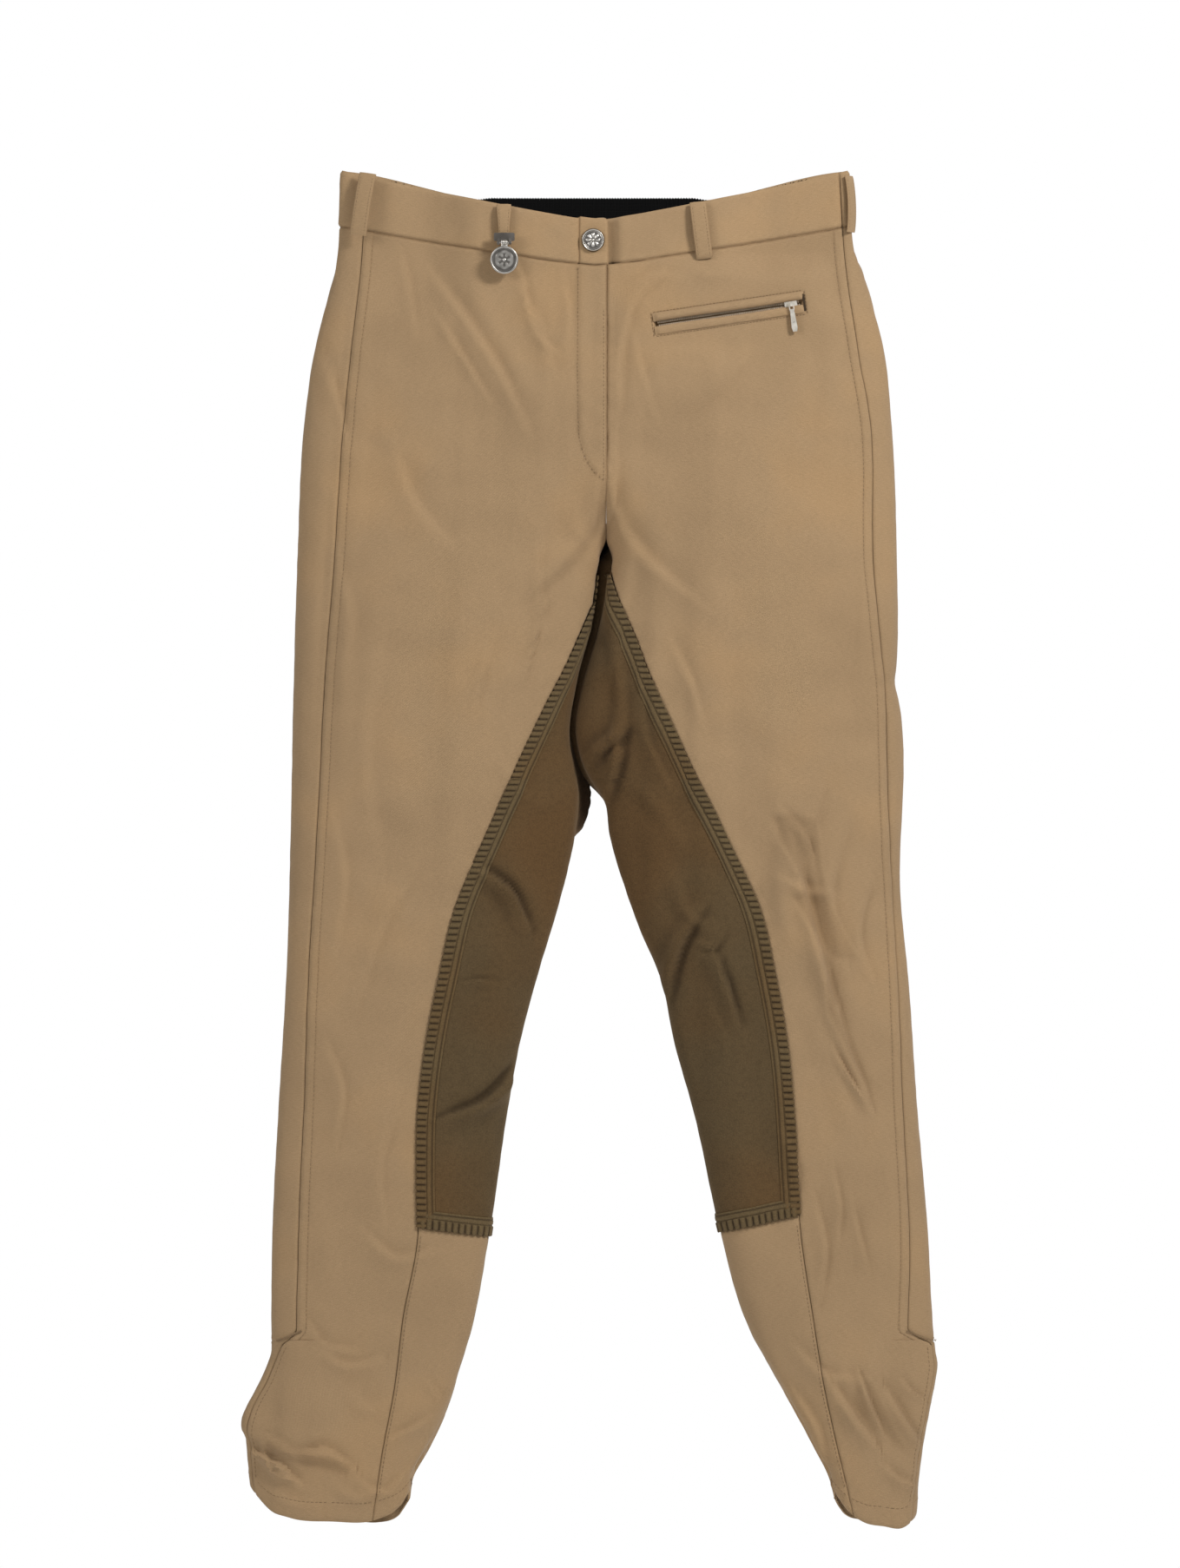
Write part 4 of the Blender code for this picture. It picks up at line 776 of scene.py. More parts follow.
class Look:
    """A material on the principled shader, with short ways to add nodes to it."""

    def __init__(self, name):
        self.material = bpy.data.materials.new(name)
        self.material.use_nodes = True
        self.tree = self.material.node_tree
        self.shader = self.tree.nodes["Principled BSDF"]

    def feed(self, pin, value):
        """Links a socket to a pin, or sets the pin to a number or a colour."""
        if isinstance(value, bpy.types.NodeSocket):
            self.tree.links.new(value, pin)
        else:
            pin.default_value = (*value, 1) if isinstance(value, tuple) else value

    def set(self, **inputs):
        for key, value in inputs.items():
            self.feed(self.shader.inputs[key.replace("_", " ")], value)

    def node(self, kind, **inputs):
        made = self.tree.nodes.new(kind)
        for key, value in inputs.items():
            made.inputs[key.replace("_", " ")].default_value = value
        return made

    def texture(self, kind, source, **inputs):
        made = self.node("ShaderNodeTex" + kind, **inputs)
        self.tree.links.new(source, made.inputs["Vector"])
        return made.outputs["Fac"]

    def noise(self, source, **inputs):
        return self.texture("Noise", source, **inputs)

    def mapping(self, source, **inputs):
        made = self.node("ShaderNodeMapping", **inputs)
        self.tree.links.new(source, made.inputs["Vector"])
        return made.outputs["Vector"]

    def uv(self):
        made = self.node("ShaderNodeUVMap")
        made.uv_map = "cloth"
        return made.outputs["UV"]

    def seam(self):
        # the 'seam' attribute: painted shade on the cloth pieces, tarnish in the metal pieces'
        # recesses
        made = self.node("ShaderNodeAttribute")
        made.attribute_name = "seam"
        return made.outputs["Fac"]

    def ramp(self, source, *stops):
        made = self.node("ShaderNodeValToRGB")
        elements = made.color_ramp.elements
        while len(elements) < len(stops):
            elements.new(0.5)
        for element, (at, colour) in zip(elements, stops):
            element.position = at
            element.color = (*colour, 1)
        self.tree.links.new(source, made.inputs["Fac"])
        return made.outputs["Color"]

    def mix(self, blend, factor, first, second):
        made = self.node("ShaderNodeMix")
        made.data_type = "RGBA"
        made.blend_type = blend
        pins = {(pin.name, pin.type): pin for pin in made.inputs}
        self.feed(pins["Factor", "VALUE"], factor)
        self.feed(pins["A", "RGBA"], first)
        self.feed(pins["B", "RGBA"], second)
        return [pin for pin in made.outputs if pin.type == "RGBA"][0]

    def math(self, operation, first, second):
        made = self.node("ShaderNodeMath")
        made.operation = operation
        self.feed(made.inputs[0], first)
        self.feed(made.inputs[1], second)
        return made.outputs[0]

    def add(self, first, second):
        return self.math("ADD", first, second)

    def times(self, first, second):
        return self.math("MULTIPLY", first, second)

    def bump(self, height, strength, distance):
        made = self.node("ShaderNodeBump", Strength=strength, Distance=distance)
        self.tree.links.new(height, made.inputs["Height"])
        self.set(Normal=made.outputs["Normal"])


def cloth_material(name, colour, weave=0.0008, bump=0.25):
    """Stretch twill: fine diagonal ribs, slubs of lighter yarn, soft fading and painted shade."""
    look = Look(name)
    uv = look.uv()
    broad = look.noise(uv, Scale=9.0, Detail=3.0, Roughness=0.55)
    # yarn: noise drawn out along the cloth
    drawn = look.mapping(uv, Scale=(260.0, 2600.0, 1.0), Rotation=(0, 0, math.radians(8)))
    yarn = look.noise(drawn, Scale=1.0, Detail=2.0, Roughness=0.6)
    fine = look.noise(uv, Scale=1400.0, Detail=2.0, Roughness=0.6)
    faded = tuple(channel * tint * 1.05 for channel, tint in zip(colour, (1.03, 1.0, 0.95)))
    base = look.ramp(broad, (0.32, scaled(colour, 0.93)), (0.5, colour), (0.68, faded))
    shades = look.ramp(yarn, (0.35, (0.80, 0.80, 0.78)), (0.65, (1.12, 1.12, 1.13)))
    base = look.mix("MULTIPLY", 0.5, base, shades)
    shades = look.ramp(fine, (0.35, (0.78, 0.77, 0.75)), (0.65, (1.15, 1.15, 1.16)))
    base = look.mix("MULTIPLY", 0.35, base, shades)
    # painted shade: the 'seam' attribute darkens fold hollows, seam grooves and gaps between parts
    base = look.mix("MULTIPLY", look.seam(), base, (0.70, 0.67, 0.63))
    turned = look.mapping(uv, Rotation=(0, 0, math.radians(27)))
    ribs = look.texture("Wave", turned, Scale=BAND_SPACING / weave, Distortion=1.2, Detail=1.0,
                        Detail_Scale=1.5)
    height = look.add(look.times(ribs, 0.7), look.times(fine, 0.8))
    soft = look.noise(uv, Scale=120.0, Detail=3.0, Roughness=0.5)
    height = look.add(height, look.times(soft, 0.9))
    look.bump(height, strength=bump, distance=0.0006)
    look.set(Roughness=look.add(look.times(fine, 0.15), 0.78), Sheen_Weight=0.12,
             Sheen_Roughness=0.5, Specular_IOR_Level=0.25)
    return look.material


def suede_material(name, colour, warm, olive):
    """Suede: nap brushed one way or the other, short fibre grain, and shiny scuffs."""
    look = Look(name)
    uv = look.uv()
    nap = look.noise(uv, Scale=14.0, Detail=5.0, Roughness=0.6, Distortion=0.8)
    cloud = look.noise(uv, Scale=5.0, Detail=3.0, Roughness=0.5)
    grain = look.noise(uv, Scale=900.0, Detail=3.0, Roughness=0.65)
    fleck = look.noise(uv, Scale=260.0, Detail=2.0, Roughness=0.6)
    base = look.ramp(nap, (0.36, scaled(colour, 0.88)), (0.5, colour),
                     (0.66, scaled(colour, 1.14)))
    base = look.mix("MIX", look.ramp(cloud, (0.46, BLACK), (0.60, grey(0.75))), base, warm)
    base = look.mix("MIX", look.ramp(cloud, (0.40, grey(0.75)), (0.54, BLACK)), base, olive)
    shades = look.ramp(grain, (0.35, grey(0.72)), (0.65, grey(1.2)))
    base = look.mix("MULTIPLY", 0.6, base, shades)
    shades = look.ramp(fleck, (0.3, (0.75, 0.74, 0.72)), (0.55, grey(1.08)))
    base = look.mix("MULTIPLY", 0.4, base, shades)
    # painted shade from the 'seam' attribute: fold hollows, seam grooves and the dark gap between
    # the legs
    base = look.mix("MULTIPLY", look.seam(), base, (0.22, 0.19, 0.17))
    height = look.add(look.times(grain, 0.9), look.times(fleck, 0.8))
    height = look.add(height, look.times(nap, 1.6))
    look.bump(height, strength=0.35, distance=0.0008)
    look.set(Base_Color=base, Roughness=look.math("SUBTRACT", 0.99, look.times(nap, 0.16)),
             Sheen_Weight=0.18, Sheen_Roughness=0.6, Sheen_Tint=(0.8, 0.62, 0.42),
             Specular_IOR_Level=0.15)
    return look.material


def metal_material(name, colour, dark, rough=0.3, metallic=1.0):
    """Metal: bright on the high places, tarnished in the recesses, finely scratched."""
    look = Look(name)
    spot = look.node("ShaderNodeTexCoord").outputs["Object"]
    hollow = look.node("ShaderNodeNewGeometry").outputs["Pointiness"]
    scratch = look.noise(spot, Scale=900.0, Detail=4.0, Roughness=0.6)
    cloud = look.noise(spot, Scale=220.0, Detail=3.0)
    base = look.mix("MIX", look.ramp(hollow, (0.44, WHITE), (0.52, BLACK)), colour, dark)
    shades = look.ramp(cloud, (0.35, (0.66, 0.64, 0.6)), (0.6, grey(1.05)))
    base = look.mix("MULTIPLY", 0.5, base, shades)
    base = look.mix("MIX", look.times(look.seam(), 0.72), base, dark)
    look.set(Base_Color=base, Metallic=metallic,
             Roughness=look.add(rough - 0.1, look.times(cloud, 0.28)))
    look.bump(scratch, strength=0.18, distance=0.0002)
    return look.material


def ribbed_material(name, colour, light, pitch=0.0011):
    """Webbing: lengthwise ribs crossed by fine cords."""
    look = Look(name)
    uv = look.uv()
    waves = []
    for direction, spacing, distortion in (("Y", pitch, 0.3), ("X", pitch * 0.8, 0.5)):
        wave = look.node("ShaderNodeTexWave", Scale=BAND_SPACING / spacing,
                         Distortion=distortion)
        wave.bands_direction = direction
        look.tree.links.new(uv, wave.inputs["Vector"])
        waves.append(wave.outputs["Fac"])
    cords, knit = waves
    fine = look.noise(uv, Scale=1500.0, Detail=2.0)
    base = look.ramp(look.times(cords, knit), (0.0, colour), (1.0, light))
    shades = look.ramp(fine, (0.3, grey(0.7)), (0.7, grey(1.3)))
    base = look.mix("MULTIPLY", 0.5, base, shades)
    look.bump(look.add(cords, look.times(knit, 0.5)), strength=0.5, distance=0.0004)
    look.set(Base_Color=base, Roughness=0.95, Specular_IOR_Level=0.12)
    return look.material


def cloth(name, colour, **tuning):
    """Twill with its colour linked to the mixed base."""
    material = cloth_material(name, colour, **tuning)
    tree = material.node_tree
    mixes = [made for made in tree.nodes if made.bl_idname == "ShaderNodeMix"]
    base = [pin for pin in mixes[-1].outputs if pin.type == "RGBA"][0]
    tree.links.new(base, tree.nodes["Principled BSDF"].inputs["Base Color"])
    return material


TAN = (0.366, 0.241, 0.128)
# look: (material, slot it fills)
LOOKS = {
    "twill": (cloth("tan_twill", TAN), "twill"),
    "band": (cloth("tan_twill_band", scaled(TAN, 1.03)), "twill"),
    "suede": (suede_material("brown_suede", colour=(0.096, 0.058, 0.024),
                             warm=(0.110, 0.057, 0.020), olive=(0.092, 0.062, 0.029)), "suede"),
    # near-black suede standing for the shadow in the gap between the legs
    "shadow_suede": (suede_material("shadow_black_suede", colour=(0.030, 0.019, 0.010),
                              warm=(0.032, 0.019, 0.009), olive=(0.028, 0.019, 0.010)), "suede"),
    "edging": (suede_material("olive_suede_binding", colour=(0.128, 0.083, 0.036),
                              warm=(0.128, 0.074, 0.028), olive=(0.128, 0.090, 0.043)), "edging"),
    "thread": (cloth("tan_thread", scaled(TAN, 0.66), weave=0.0004, bump=0.3), "twill"),
    "thread_dark": (cloth("brown_thread", (0.048, 0.029, 0.013), weave=0.0004, bump=0.3),
                    "edging"),
    "elastic": (ribbed_material("black_elastic", grey(0.002), grey(0.010)), "elastic"),
    "tape": (ribbed_material("tan_zip_tape", scaled(TAN, 0.72), scaled(TAN, 0.95), pitch=0.0009),
             "zip_tape"),
    "lining": (cloth("cream_lining", (0.60, 0.53, 0.42), weave=0.0005, bump=0.15), "lining"),
    "hook": (ribbed_material("tan_hook_tape", (0.26, 0.18, 0.11), (0.44, 0.32, 0.20),
                             pitch=0.0016), "hook_and_loop"),
    "metal": (metal_material("plated_zip_metal", (0.97, 0.91, 0.80), dark=(0.22, 0.18, 0.13),
                             rough=0.28, metallic=0.7), "zip_metal"),
    "chain": (metal_material("zip_chain_metal", (0.62, 0.50, 0.37), dark=(0.24, 0.17, 0.11),
                             rough=0.40, metallic=0.6), "zip_metal"),
    "iron": (metal_material("dark_plated_metal", (0.30, 0.27, 0.24), dark=(0.02, 0.018, 0.016)),
             "aged_silver"),
    "silver": (metal_material("aged_silver", (0.70, 0.67, 0.62), dark=(0.11, 0.098, 0.086),
                              rough=0.32), "aged_silver"),
}


# ------------------------------------------------------------------ mesh making
def make_object(name, verts, faces, look, uvs, seam=None, sharp=38):
    mesh = bpy.data.meshes.new(name)
    mesh.from_pydata((np.asarray(verts) * MM).tolist(), [], faces)
    mesh.update()
    layer = mesh.uv_layers.new(name="cloth")
    loops = np.empty(len(mesh.loops), np.int32)
    mesh.loops.foreach_get("vertex_index", loops)
    layer.data.foreach_set("uv", (np.asarray(uvs)[loops] * MM).astype(np.float32).ravel())
    # the 'seam' attribute holds painted shade on the cloth pieces and tarnish in the metal pieces'
    # recesses
    if seam is not None:
        attribute = mesh.attributes.new("seam", "FLOAT", "POINT")
        attribute.data.foreach_set("value", np.clip(seam, 0, 1).astype(np.float32))
    material, slot = LOOKS[look]
    mesh.materials.append(material)
    mesh.polygons.foreach_set("use_smooth", np.ones(len(mesh.polygons), bool))
    mesh.set_sharp_from_angle(angle=math.radians(sharp))
    obj = bpy.data.objects.new(name, mesh)
    SCENE.collection.objects.link(obj)
    return obj


def ride(obj, body, *replaced):
    """Fixes a piece to one body, and hides the CAD pieces it stands in for."""
    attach(obj, body)
    if replaced:
        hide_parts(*replaced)
    return obj


def hang(obj, joint, side, *replaced):
    """Bakes a piece's transform, alike at the hip, the knee or the flap's hinge; hides what it
    replaces.
    """
    if joint == "hip":
        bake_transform(obj)
    elif joint == "knee":
        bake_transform(obj)
    else:
        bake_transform(obj)
    if replaced:
        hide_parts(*replaced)


def hang_fly(obj):
    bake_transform(obj)


def grid_normals(points):
    normals = np.cross(np.gradient(points, axis=1), np.gradient(points, axis=0))
    return normals / np.maximum(np.linalg.norm(normals, axis=2, keepdims=True), 1e-9)


def facing(points, outward):
    """Normals of a grid, turned to agree with outward."""
    normals = grid_normals(points)
    return -normals if (normals * outward).sum() < 0 else normals


def away_from(points, middle, depth_weight):
    """Vectors leading away from the upright line x = middle, y = 0."""
    x, y = points[..., 0], points[..., 1]
    return np.stack([x - middle, y * depth_weight, np.zeros_like(x)], -1)


def leg_outward(points, side, level):
    front = section(side, level).front
    return away_from(points, 0.5 * (front[0, 0] + (front[-1, 0] if level < CROTCH else CENTRE)), 6)


def shell(name, points, look, uv, outward, seam=None, thickness=1.0, inner=None):
    """A closed shell on a grid of points: outer skin, inner skin, and a rim round the edge."""
    rows, cols = points.shape[:2]
    normals = grid_normals(points)
    flip = (normals * outward).sum() < 0
    if flip:
        normals = -normals
    inside = points - normals * thickness if inner is None else inner
    count = rows * cols
    verts = np.vstack([points.reshape(-1, 3), inside.reshape(-1, 3)])
    i = np.arange(count).reshape(rows, cols)
    outer_faces = np.column_stack([i[:-1, :-1].ravel(), i[:-1, 1:].ravel(),
                                   i[1:, 1:].ravel(), i[1:, :-1].ravel()])
    border = np.concatenate([i[0, :], i[1:, -1], i[-1, -2::-1], i[-2:0:-1, 0]])
    after = np.roll(border, -1)
    rim = np.column_stack([after, border, border + count, after + count])
    faces = np.vstack([outer_faces, outer_faces[:, ::-1] + count, rim])
    if flip:
        faces = faces[:, ::-1]
    # one face is held against its normal to settle the winding
    face = faces[len(faces) // 6]
    corner = verts[face]
    wound = np.cross(corner[1] - corner[0], corner[2] - corner[0])
    if wound @ normals.reshape(-1, 3)[face[0] % count] < 0:
        faces = faces[:, ::-1]
    uvs = np.tile(uv.reshape(-1, 2), (2, 1))
    # painted shade, the same on both skins
    painted_shade = np.zeros(2 * count) if seam is None else np.tile(seam.ravel(), 2)
    return make_object(name, verts, faces.tolist(), look, uvs, painted_shade)


# ----------------------------------------------------------------- cloth panels
EDGE_STEPS = np.array([0.0, 0.5, 1.1, 1.9, 3.2, 5.0, 6.2, 6.8, 7.3, 8.4, 10.4])
SEAM_STEPS = np.array([0.0, 0.6, 1.3, 2.2, 3.4])
STITCH_IN = 6.8  # from a felled seam to its stitch line
HEM_STITCH = 14.5
LAID = {}  # panel name: (points, normals, distance from start, from end, heights)


def hollows(height, across, down):
    """0 to 1 in the bottoms of folds, where less light gets in."""
    step_x = np.maximum(np.abs(np.gradient(across, axis=1)), 0.2)
    step_z = np.maximum(np.abs(np.gradient(down, axis=0)), 0.2)
    bend = (np.gradient(np.gradient(height, axis=1) / step_x, axis=1) / step_x
            + np.gradient(np.gradient(height, axis=0) / step_z, axis=0) / step_z)
    for _ in range(2):
        bend = (average(bend) + 2 * bend) / 6
    return np.clip((bend - 0.012) * 5.5, 0, 1)


def columns(length, count):
    """Places across a panel: fine near both edges, even between."""
    edge = EDGE_STEPS * min(1.0, length / 46.0)
    middle = np.linspace(edge[-1], length - edge[-1], max(3, count) + 1)[1:-1]
    return np.concatenate([edge, middle, length - edge[::-1]])


def steps(high, low, pitch=3.4, top=True, bottom=True):
    """Heights from high to low, closer together at the ends that are seams."""
    reach = SEAM_STEPS[-1]
    count = max(2, int(round((high - low - reach * (top + bottom)) / pitch)))
    inside = np.linspace(high - reach * top, low + reach * bottom, count + 1)
    runs = [inside[int(top):count + 1 - int(bottom)]]
    if top:
        runs.insert(0, high - SEAM_STEPS)
    if bottom:
        runs.append(low + SEAM_STEPS[::-1])
    return list(np.concatenate(runs))


def seam_roll(away, depth=0.8, reach=2.3):
    return -depth * (1 - smooth(0, reach, away)) ** 1.4


def felled(away):
    """The raised allowance beside a topstitched seam, with the dip of the stitch line."""
    return (0.45 * smooth(0.6, 2.0, away) * (1 - smooth(6.2, 8.4, away))
            - 0.4 * bell(away - STITCH_IN, 0.6))


def bottom_level(side, x):
    """Height of the suede's bottom edge at x."""
    line, outer, inner = BOTTOM[side]
    return float(curve(line, np.clip((x - outer) / (inner - outer), 0, 1)))


def slant_rows(layers, fine, levels, side):
    """Moves the row at PATCH_END onto the suede's slanting bottom edge; its neighbours follow."""
    fine, levels = np.array(fine), np.array(levels)
    row = np.argmin(np.abs(fine - PATCH_END))
    moved = []
    for k in range(layers.shape[1]):
        rise = bottom_level(side, layers[row, k, 0]) - PATCH_END
        at = levels + rise * (1 - smooth(0, 60, np.abs(levels - PATCH_END)))
        moved.append(sample(layers[:, k], -fine, -at))
    return np.stack(moved, 1)


def panel(name, side, levels, start, end, count, edges, look="twill", raised=0.0, slant=False):
    """A cloth panel between two seams. start and end give sigma on a section; edges says how the
    start, end, top and bottom are finished."""
    thickness, lift = (SUEDE, 0.25) if look == "suede" else (FABRIC, 0.0)
    fine = levels
    if slant:
        extra = {PATCH_END + v for v in (-16, -12, -8, -5, -2, 0, 2, 5, 8, 12, 16)}
        fine = sorted(set(levels) | extra, reverse=True)
    layers = []
    for level in fine:
        cut = section(side, level)
        first, last = start(cut), end(cut)
        length = abs(last - first)
        along = columns(length, count)
        sigma = first + np.sign(last - first) * along
        layers.append(np.column_stack([surface_row(side, level, sigma), sigma,
                                       np.full(len(along), level), along, length - along]))
    layers = np.array(layers)
    if slant:
        layers = slant_rows(layers, fine, levels, side)
    points, uv = layers[..., :3], layers[..., 3:5]
    from_start, from_end = layers[..., 5], layers[..., 6]
    outward = leg_outward(points, side, levels[len(levels) // 2])
    normals = facing(points, outward)
    heights = np.array(levels)[:, None] * np.ones_like(from_start)
    x, y, z = points[..., 0], points[..., 1], points[..., 2]
    folded = relief(points)
    height = folded + raised * smooth(4, 14, from_end)
    # painted shade in the bottoms of folds; seam collects all the painted shade of the panel
    seam = (0.62 if look == "suede" else 0.55) * hollows(folded, from_start, heights)
    # painted shade on the facets of the front, which lean away from the key light
    if look == "twill":
        seam = np.maximum(seam, 0.40 * facets(x, z)[1] * (y < -2))
    if name == "front_upper_right":
        # the fly's free edge, and the shadow of its groove
        height = height + 0.9 * (1 - smooth(0, 12, from_end)) * smooth(762, 785, heights)
        seam = np.maximum(seam, 0.6 * bell(x - fly_x(z), 0.9) * smooth(757, 764, z))
    if name == "front_thigh_left":
        # shaded where the fly lies over it
        shade = (0.35 + 0.6 * smooth(840, 900, z)) * smooth(768, 800, z)
        seam = np.maximum(seam, shade * (1 - smooth(0.4, 3.4, from_end)))
    pucker = 0.34 * np.sin(z / 1.9 + 2.0 * np.sin(z / 17.0)) * (0.6 + 0.4 * np.sin(z / 31.0))
    for away, kind in ((from_start, edges[0]), (from_end, edges[1])):
        if kind == "none":
            continue
        if kind == "free":
            height = height + seam_roll(away, 0.5, 1.6)
            continue
        # deep: how far the seam's groove sinks; dark: how much painted shade the groove gets
        deep, dark = (0.32, 0.34) if kind == "felled" else (0.7, 0.65)
        height = height + seam_roll(away, deep) + pucker * bell(away, 5.5) * smooth(0.2, 1.5, away)
        seam = np.maximum(seam, dark * (1 - smooth(0.0, 1.0, away)))
        if kind == "felled":
            height = height + felled(away)
            # painted shade in the dip of the stitch line
            seam = np.maximum(seam, 0.34 * bell(away - STITCH_IN, 0.8))
    for away, kind in ((levels[0] - heights, edges[2]), (heights - levels[-1], edges[3])):
        if kind == "none":
            continue
        if kind == "hem":
            height = (height - 0.7 * (1 - smooth(0, 2.0, away))
                      + 0.3 * smooth(1.5, 4, away) * (1 - smooth(15, 17, away)))
            continue
        fade = smooth(2, 16, uv[..., 0]) if kind == "yoke" else 1.0
        height = height + seam_roll(away) * fade
        # painted shade in the groove of the top or bottom seam
        seam = np.maximum(seam, 0.85 * (1 - smooth(0.0, 1.6, away)) * fade)
    # where the two halves meet on the centre line they only move front to back
    joined = (1 - smooth(3, 9, np.abs(x - CENTRE))) * (heights > CROTCH - 0.1)
    normals[..., 0] *= 1 - joined
    if look == "suede":
        # painted shade where the suede bunches behind the other leg, in the gap between the legs
        run = from_end / (from_start + from_end)
        tail = (1 - smooth(586, 596, heights)) if side == "right" else 0.0
        deep = (smooth(2 - 2 * tail, 8 - 5 * tail, y) * (1 - smooth(14, 19, y))
                * smooth(500, 508, heights) * (1 - smooth(706, 714, heights))
                * smooth(0.30, 0.42, run))
        seam = np.maximum(seam, deep)
    points = points + normals * (height + lift)[..., None]
    LAID[name] = (points, normals, from_start, from_end, heights)
    return shell(name, points, look, uv, outward, seam, thickness)


class Flat:
    """A flat frame in millimetres: points at (along, across, out)."""

    def __init__(self, origin, along, out):
        self.origin = np.asarray(origin, float)
        self.along, self.out = unit(along), unit(out)
        self.across = np.cross(self.out, self.along)

    def at(self, *place):
        along, across, out = np.broadcast_arrays(*(np.asarray(v, float) for v in place))
        return (self.origin + along[..., None] * self.along + across[..., None] * self.across
                + out[..., None] * self.out)


def pocket_frame():
    """The frame of the pocket's zip, and its length."""
    start, end = (np.array([x, pocket_plane(x), z]) for x, z in (POCKET_A, POCKET_B))
    run = end - start
    level = unit([run[0], run[1], 0])
    return Flat(start, run, (level[1], -level[0], 0)), float(np.linalg.norm(run))


POCKET, POCKET_LEN = pocket_frame()


def sink_slot(obj):
    """Between the pocket's lips the cloth turns in and lies behind the zip."""
    points = np.empty(len(obj.data.vertices) * 3)
    obj.data.vertices.foreach_get("co", points)
    points = points.reshape(-1, 3) / MM
    offset = points - POCKET.origin
    along, across, out = offset @ POCKET.along, offset @ POCKET.across, offset @ POCKET.out
    sunk = (smooth(-1.5, 0.5, along) * (1 - smooth(POCKET_LEN - 0.5, POCKET_LEN + 1.5, along))
            * (1 - smooth(4.4, 6.4, np.abs(across))) * (np.abs(out) < 12))
    points = points - 4.6 * sunk[:, None] * POCKET.out
    obj.data.vertices.foreach_set("co", (points * MM).reshape(-1))
    obj.data.update()


# --------------------------------------------------------------------- the body
def front_panels(side):
    pitch = 2.6
    if side == "right":
        upper = panel("front_upper_right", side, steps(WAIST_SEAM, FLY_SPLIT, pitch, bottom=False),
                      outer_front, centre_front, 72, ("felled", "plain", "plain", "none"))
        hang_fly(upper)
        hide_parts("fly_flap")
        thigh = panel("front_thigh_right", side,
                      steps(FLY_SPLIT, PANEL_SPLIT, pitch, top=False, bottom=False),
                      outer_front, inner_front, 66, ("felled", "plain", "none", "none"))
    else:
        thigh = panel("front_thigh_left", side, steps(WAIST_SEAM, PANEL_SPLIT, pitch, bottom=False),
                      outer_front, inner_front, 72, ("felled", "plain", "plain", "none"))
        sink_slot(thigh)
    hang(thigh, "hip", side, "front_hip_" + side, "front_thigh_" + side)
    shin = panel("front_shin_" + side, side,
                 steps(PANEL_SPLIT, SLIT_TOP, pitch, top=False, bottom=False),
                 outer_front, inner_front, 50, ("felled", "plain", "none", "none"))
    hang(shin, "knee", side, "front_shin_" + side)
    levels = steps(SLIT_TOP - 0.01, 0.0, pitch, top=False)
    ankle = panel("front_ankle_" + side, side, levels, flap_hinge, inner_front, 34,
                  ("none", "plain", "none", "hem"))
    ride(ankle, "shin_" + side)
    flap = panel("ankle_flap_cover_" + side, side, levels, flap_edge, flap_hinge, 16,
                 ("free", "none", "none", "hem"), raised=0.7)
    hang(flap, "flap", side, "ankle_flap_" + side)


def back_panels(side):
    yoke = panel("back_yoke_%s_cloth" % side, side, steps(WAIST_SEAM, YOKE_SEAM),
                 centre_back, outer_back, 44, ("plain", "plain", "plain", "yoke"))
    ride(yoke, "hips", "back_yoke_" + side)
    thigh = panel("back_thigh_%s_cloth" % side, side, steps(YOKE_SEAM, PANEL_SPLIT, bottom=False),
                  inner_back, outer_back, 26, ("plain", "plain", "yoke", "none"))
    hang(thigh, "hip", side, "back_hip_" + side, "back_thigh_" + side)
    levels = steps(PANEL_SPLIT, 0.0, 3.8, top=False) + [SLIT_TOP + 0.02, SLIT_TOP - 0.02]
    shin = panel("back_shin_%s_cloth" % side, side, sorted(levels, reverse=True),
                 inner_back, outer_back, 30, ("plain", "plain", "none", "hem"))
    hang(shin, "knee", side, "back_shin_" + side)


def inner_panels(side):
    seat = panel("seat_suede_" + side, side, steps(YOKE_SEAM, PANEL_SPLIT, 2.2, bottom=False),
                 suede_front, suede_back, 96, ("plain", "plain", "plain", "none"), "suede")
    hang(seat, "hip", side, "seat_patch_" + side, "patch_thigh_" + side)
    knee = panel("knee_suede_" + side, side, steps(PANEL_SPLIT, PATCH_END, 2.0, top=False),
                 suede_front, suede_back, 80, ("plain", "plain", "none", "plain"), "suede",
                 slant=True)
    hang(knee, "knee", side, "patch_knee_" + side)
    calf = panel("inner_calf_%s_cloth" % side, side, steps(PATCH_END - 0.4, 0.0, 2.8),
                 suede_front, suede_back, 44, ("plain", "plain", "plain", "hem"), slant=True)
    ride(calf, "shin_" + side, "inner_calf_" + side)


for side in SIDES:
    front_panels(side)
    back_panels(side)
    inner_panels(side)


# ------------------------------------------------------------- thread and pieces
def along_edge(name, which, distance, high=1e9, low=-1e9):
    """The line at a distance from a panel's first (0) or second (1) edge, with its normals."""
    points, normals, from_start, from_end, heights = LAID[name]
    away = (from_start, from_end)[which]
    line, line_normals = [], []
    for i in range(len(points)):
        if low <= heights[i, 0] <= high:
            order = np.argsort(away[i])
            line.append(sample(points[i, order], away[i][order], distance)[0])
            line_normals.append(sample(normals[i, order], away[i][order], distance)[0])
    return np.array(line), unit(line_normals)


def along_row(name, level, start=1.5, stop=1.5):
    """The line across a panel at one height."""
    points, normals, from_start, from_end, heights = LAID[name]
    keys = -heights[:, 0]
    i = int(np.clip(np.searchsorted(keys, -level) - 1, 0, len(keys) - 2))
    t = (-level - keys[i]) / (keys[i + 1] - keys[i])
    keep = (from_start[i] >= start) & (from_end[i] >= stop)
    return ((points[i] * (1 - t) + points[i + 1] * t)[keep],
            unit((normals[i] * (1 - t) + normals[i + 1] * t)[keep]))


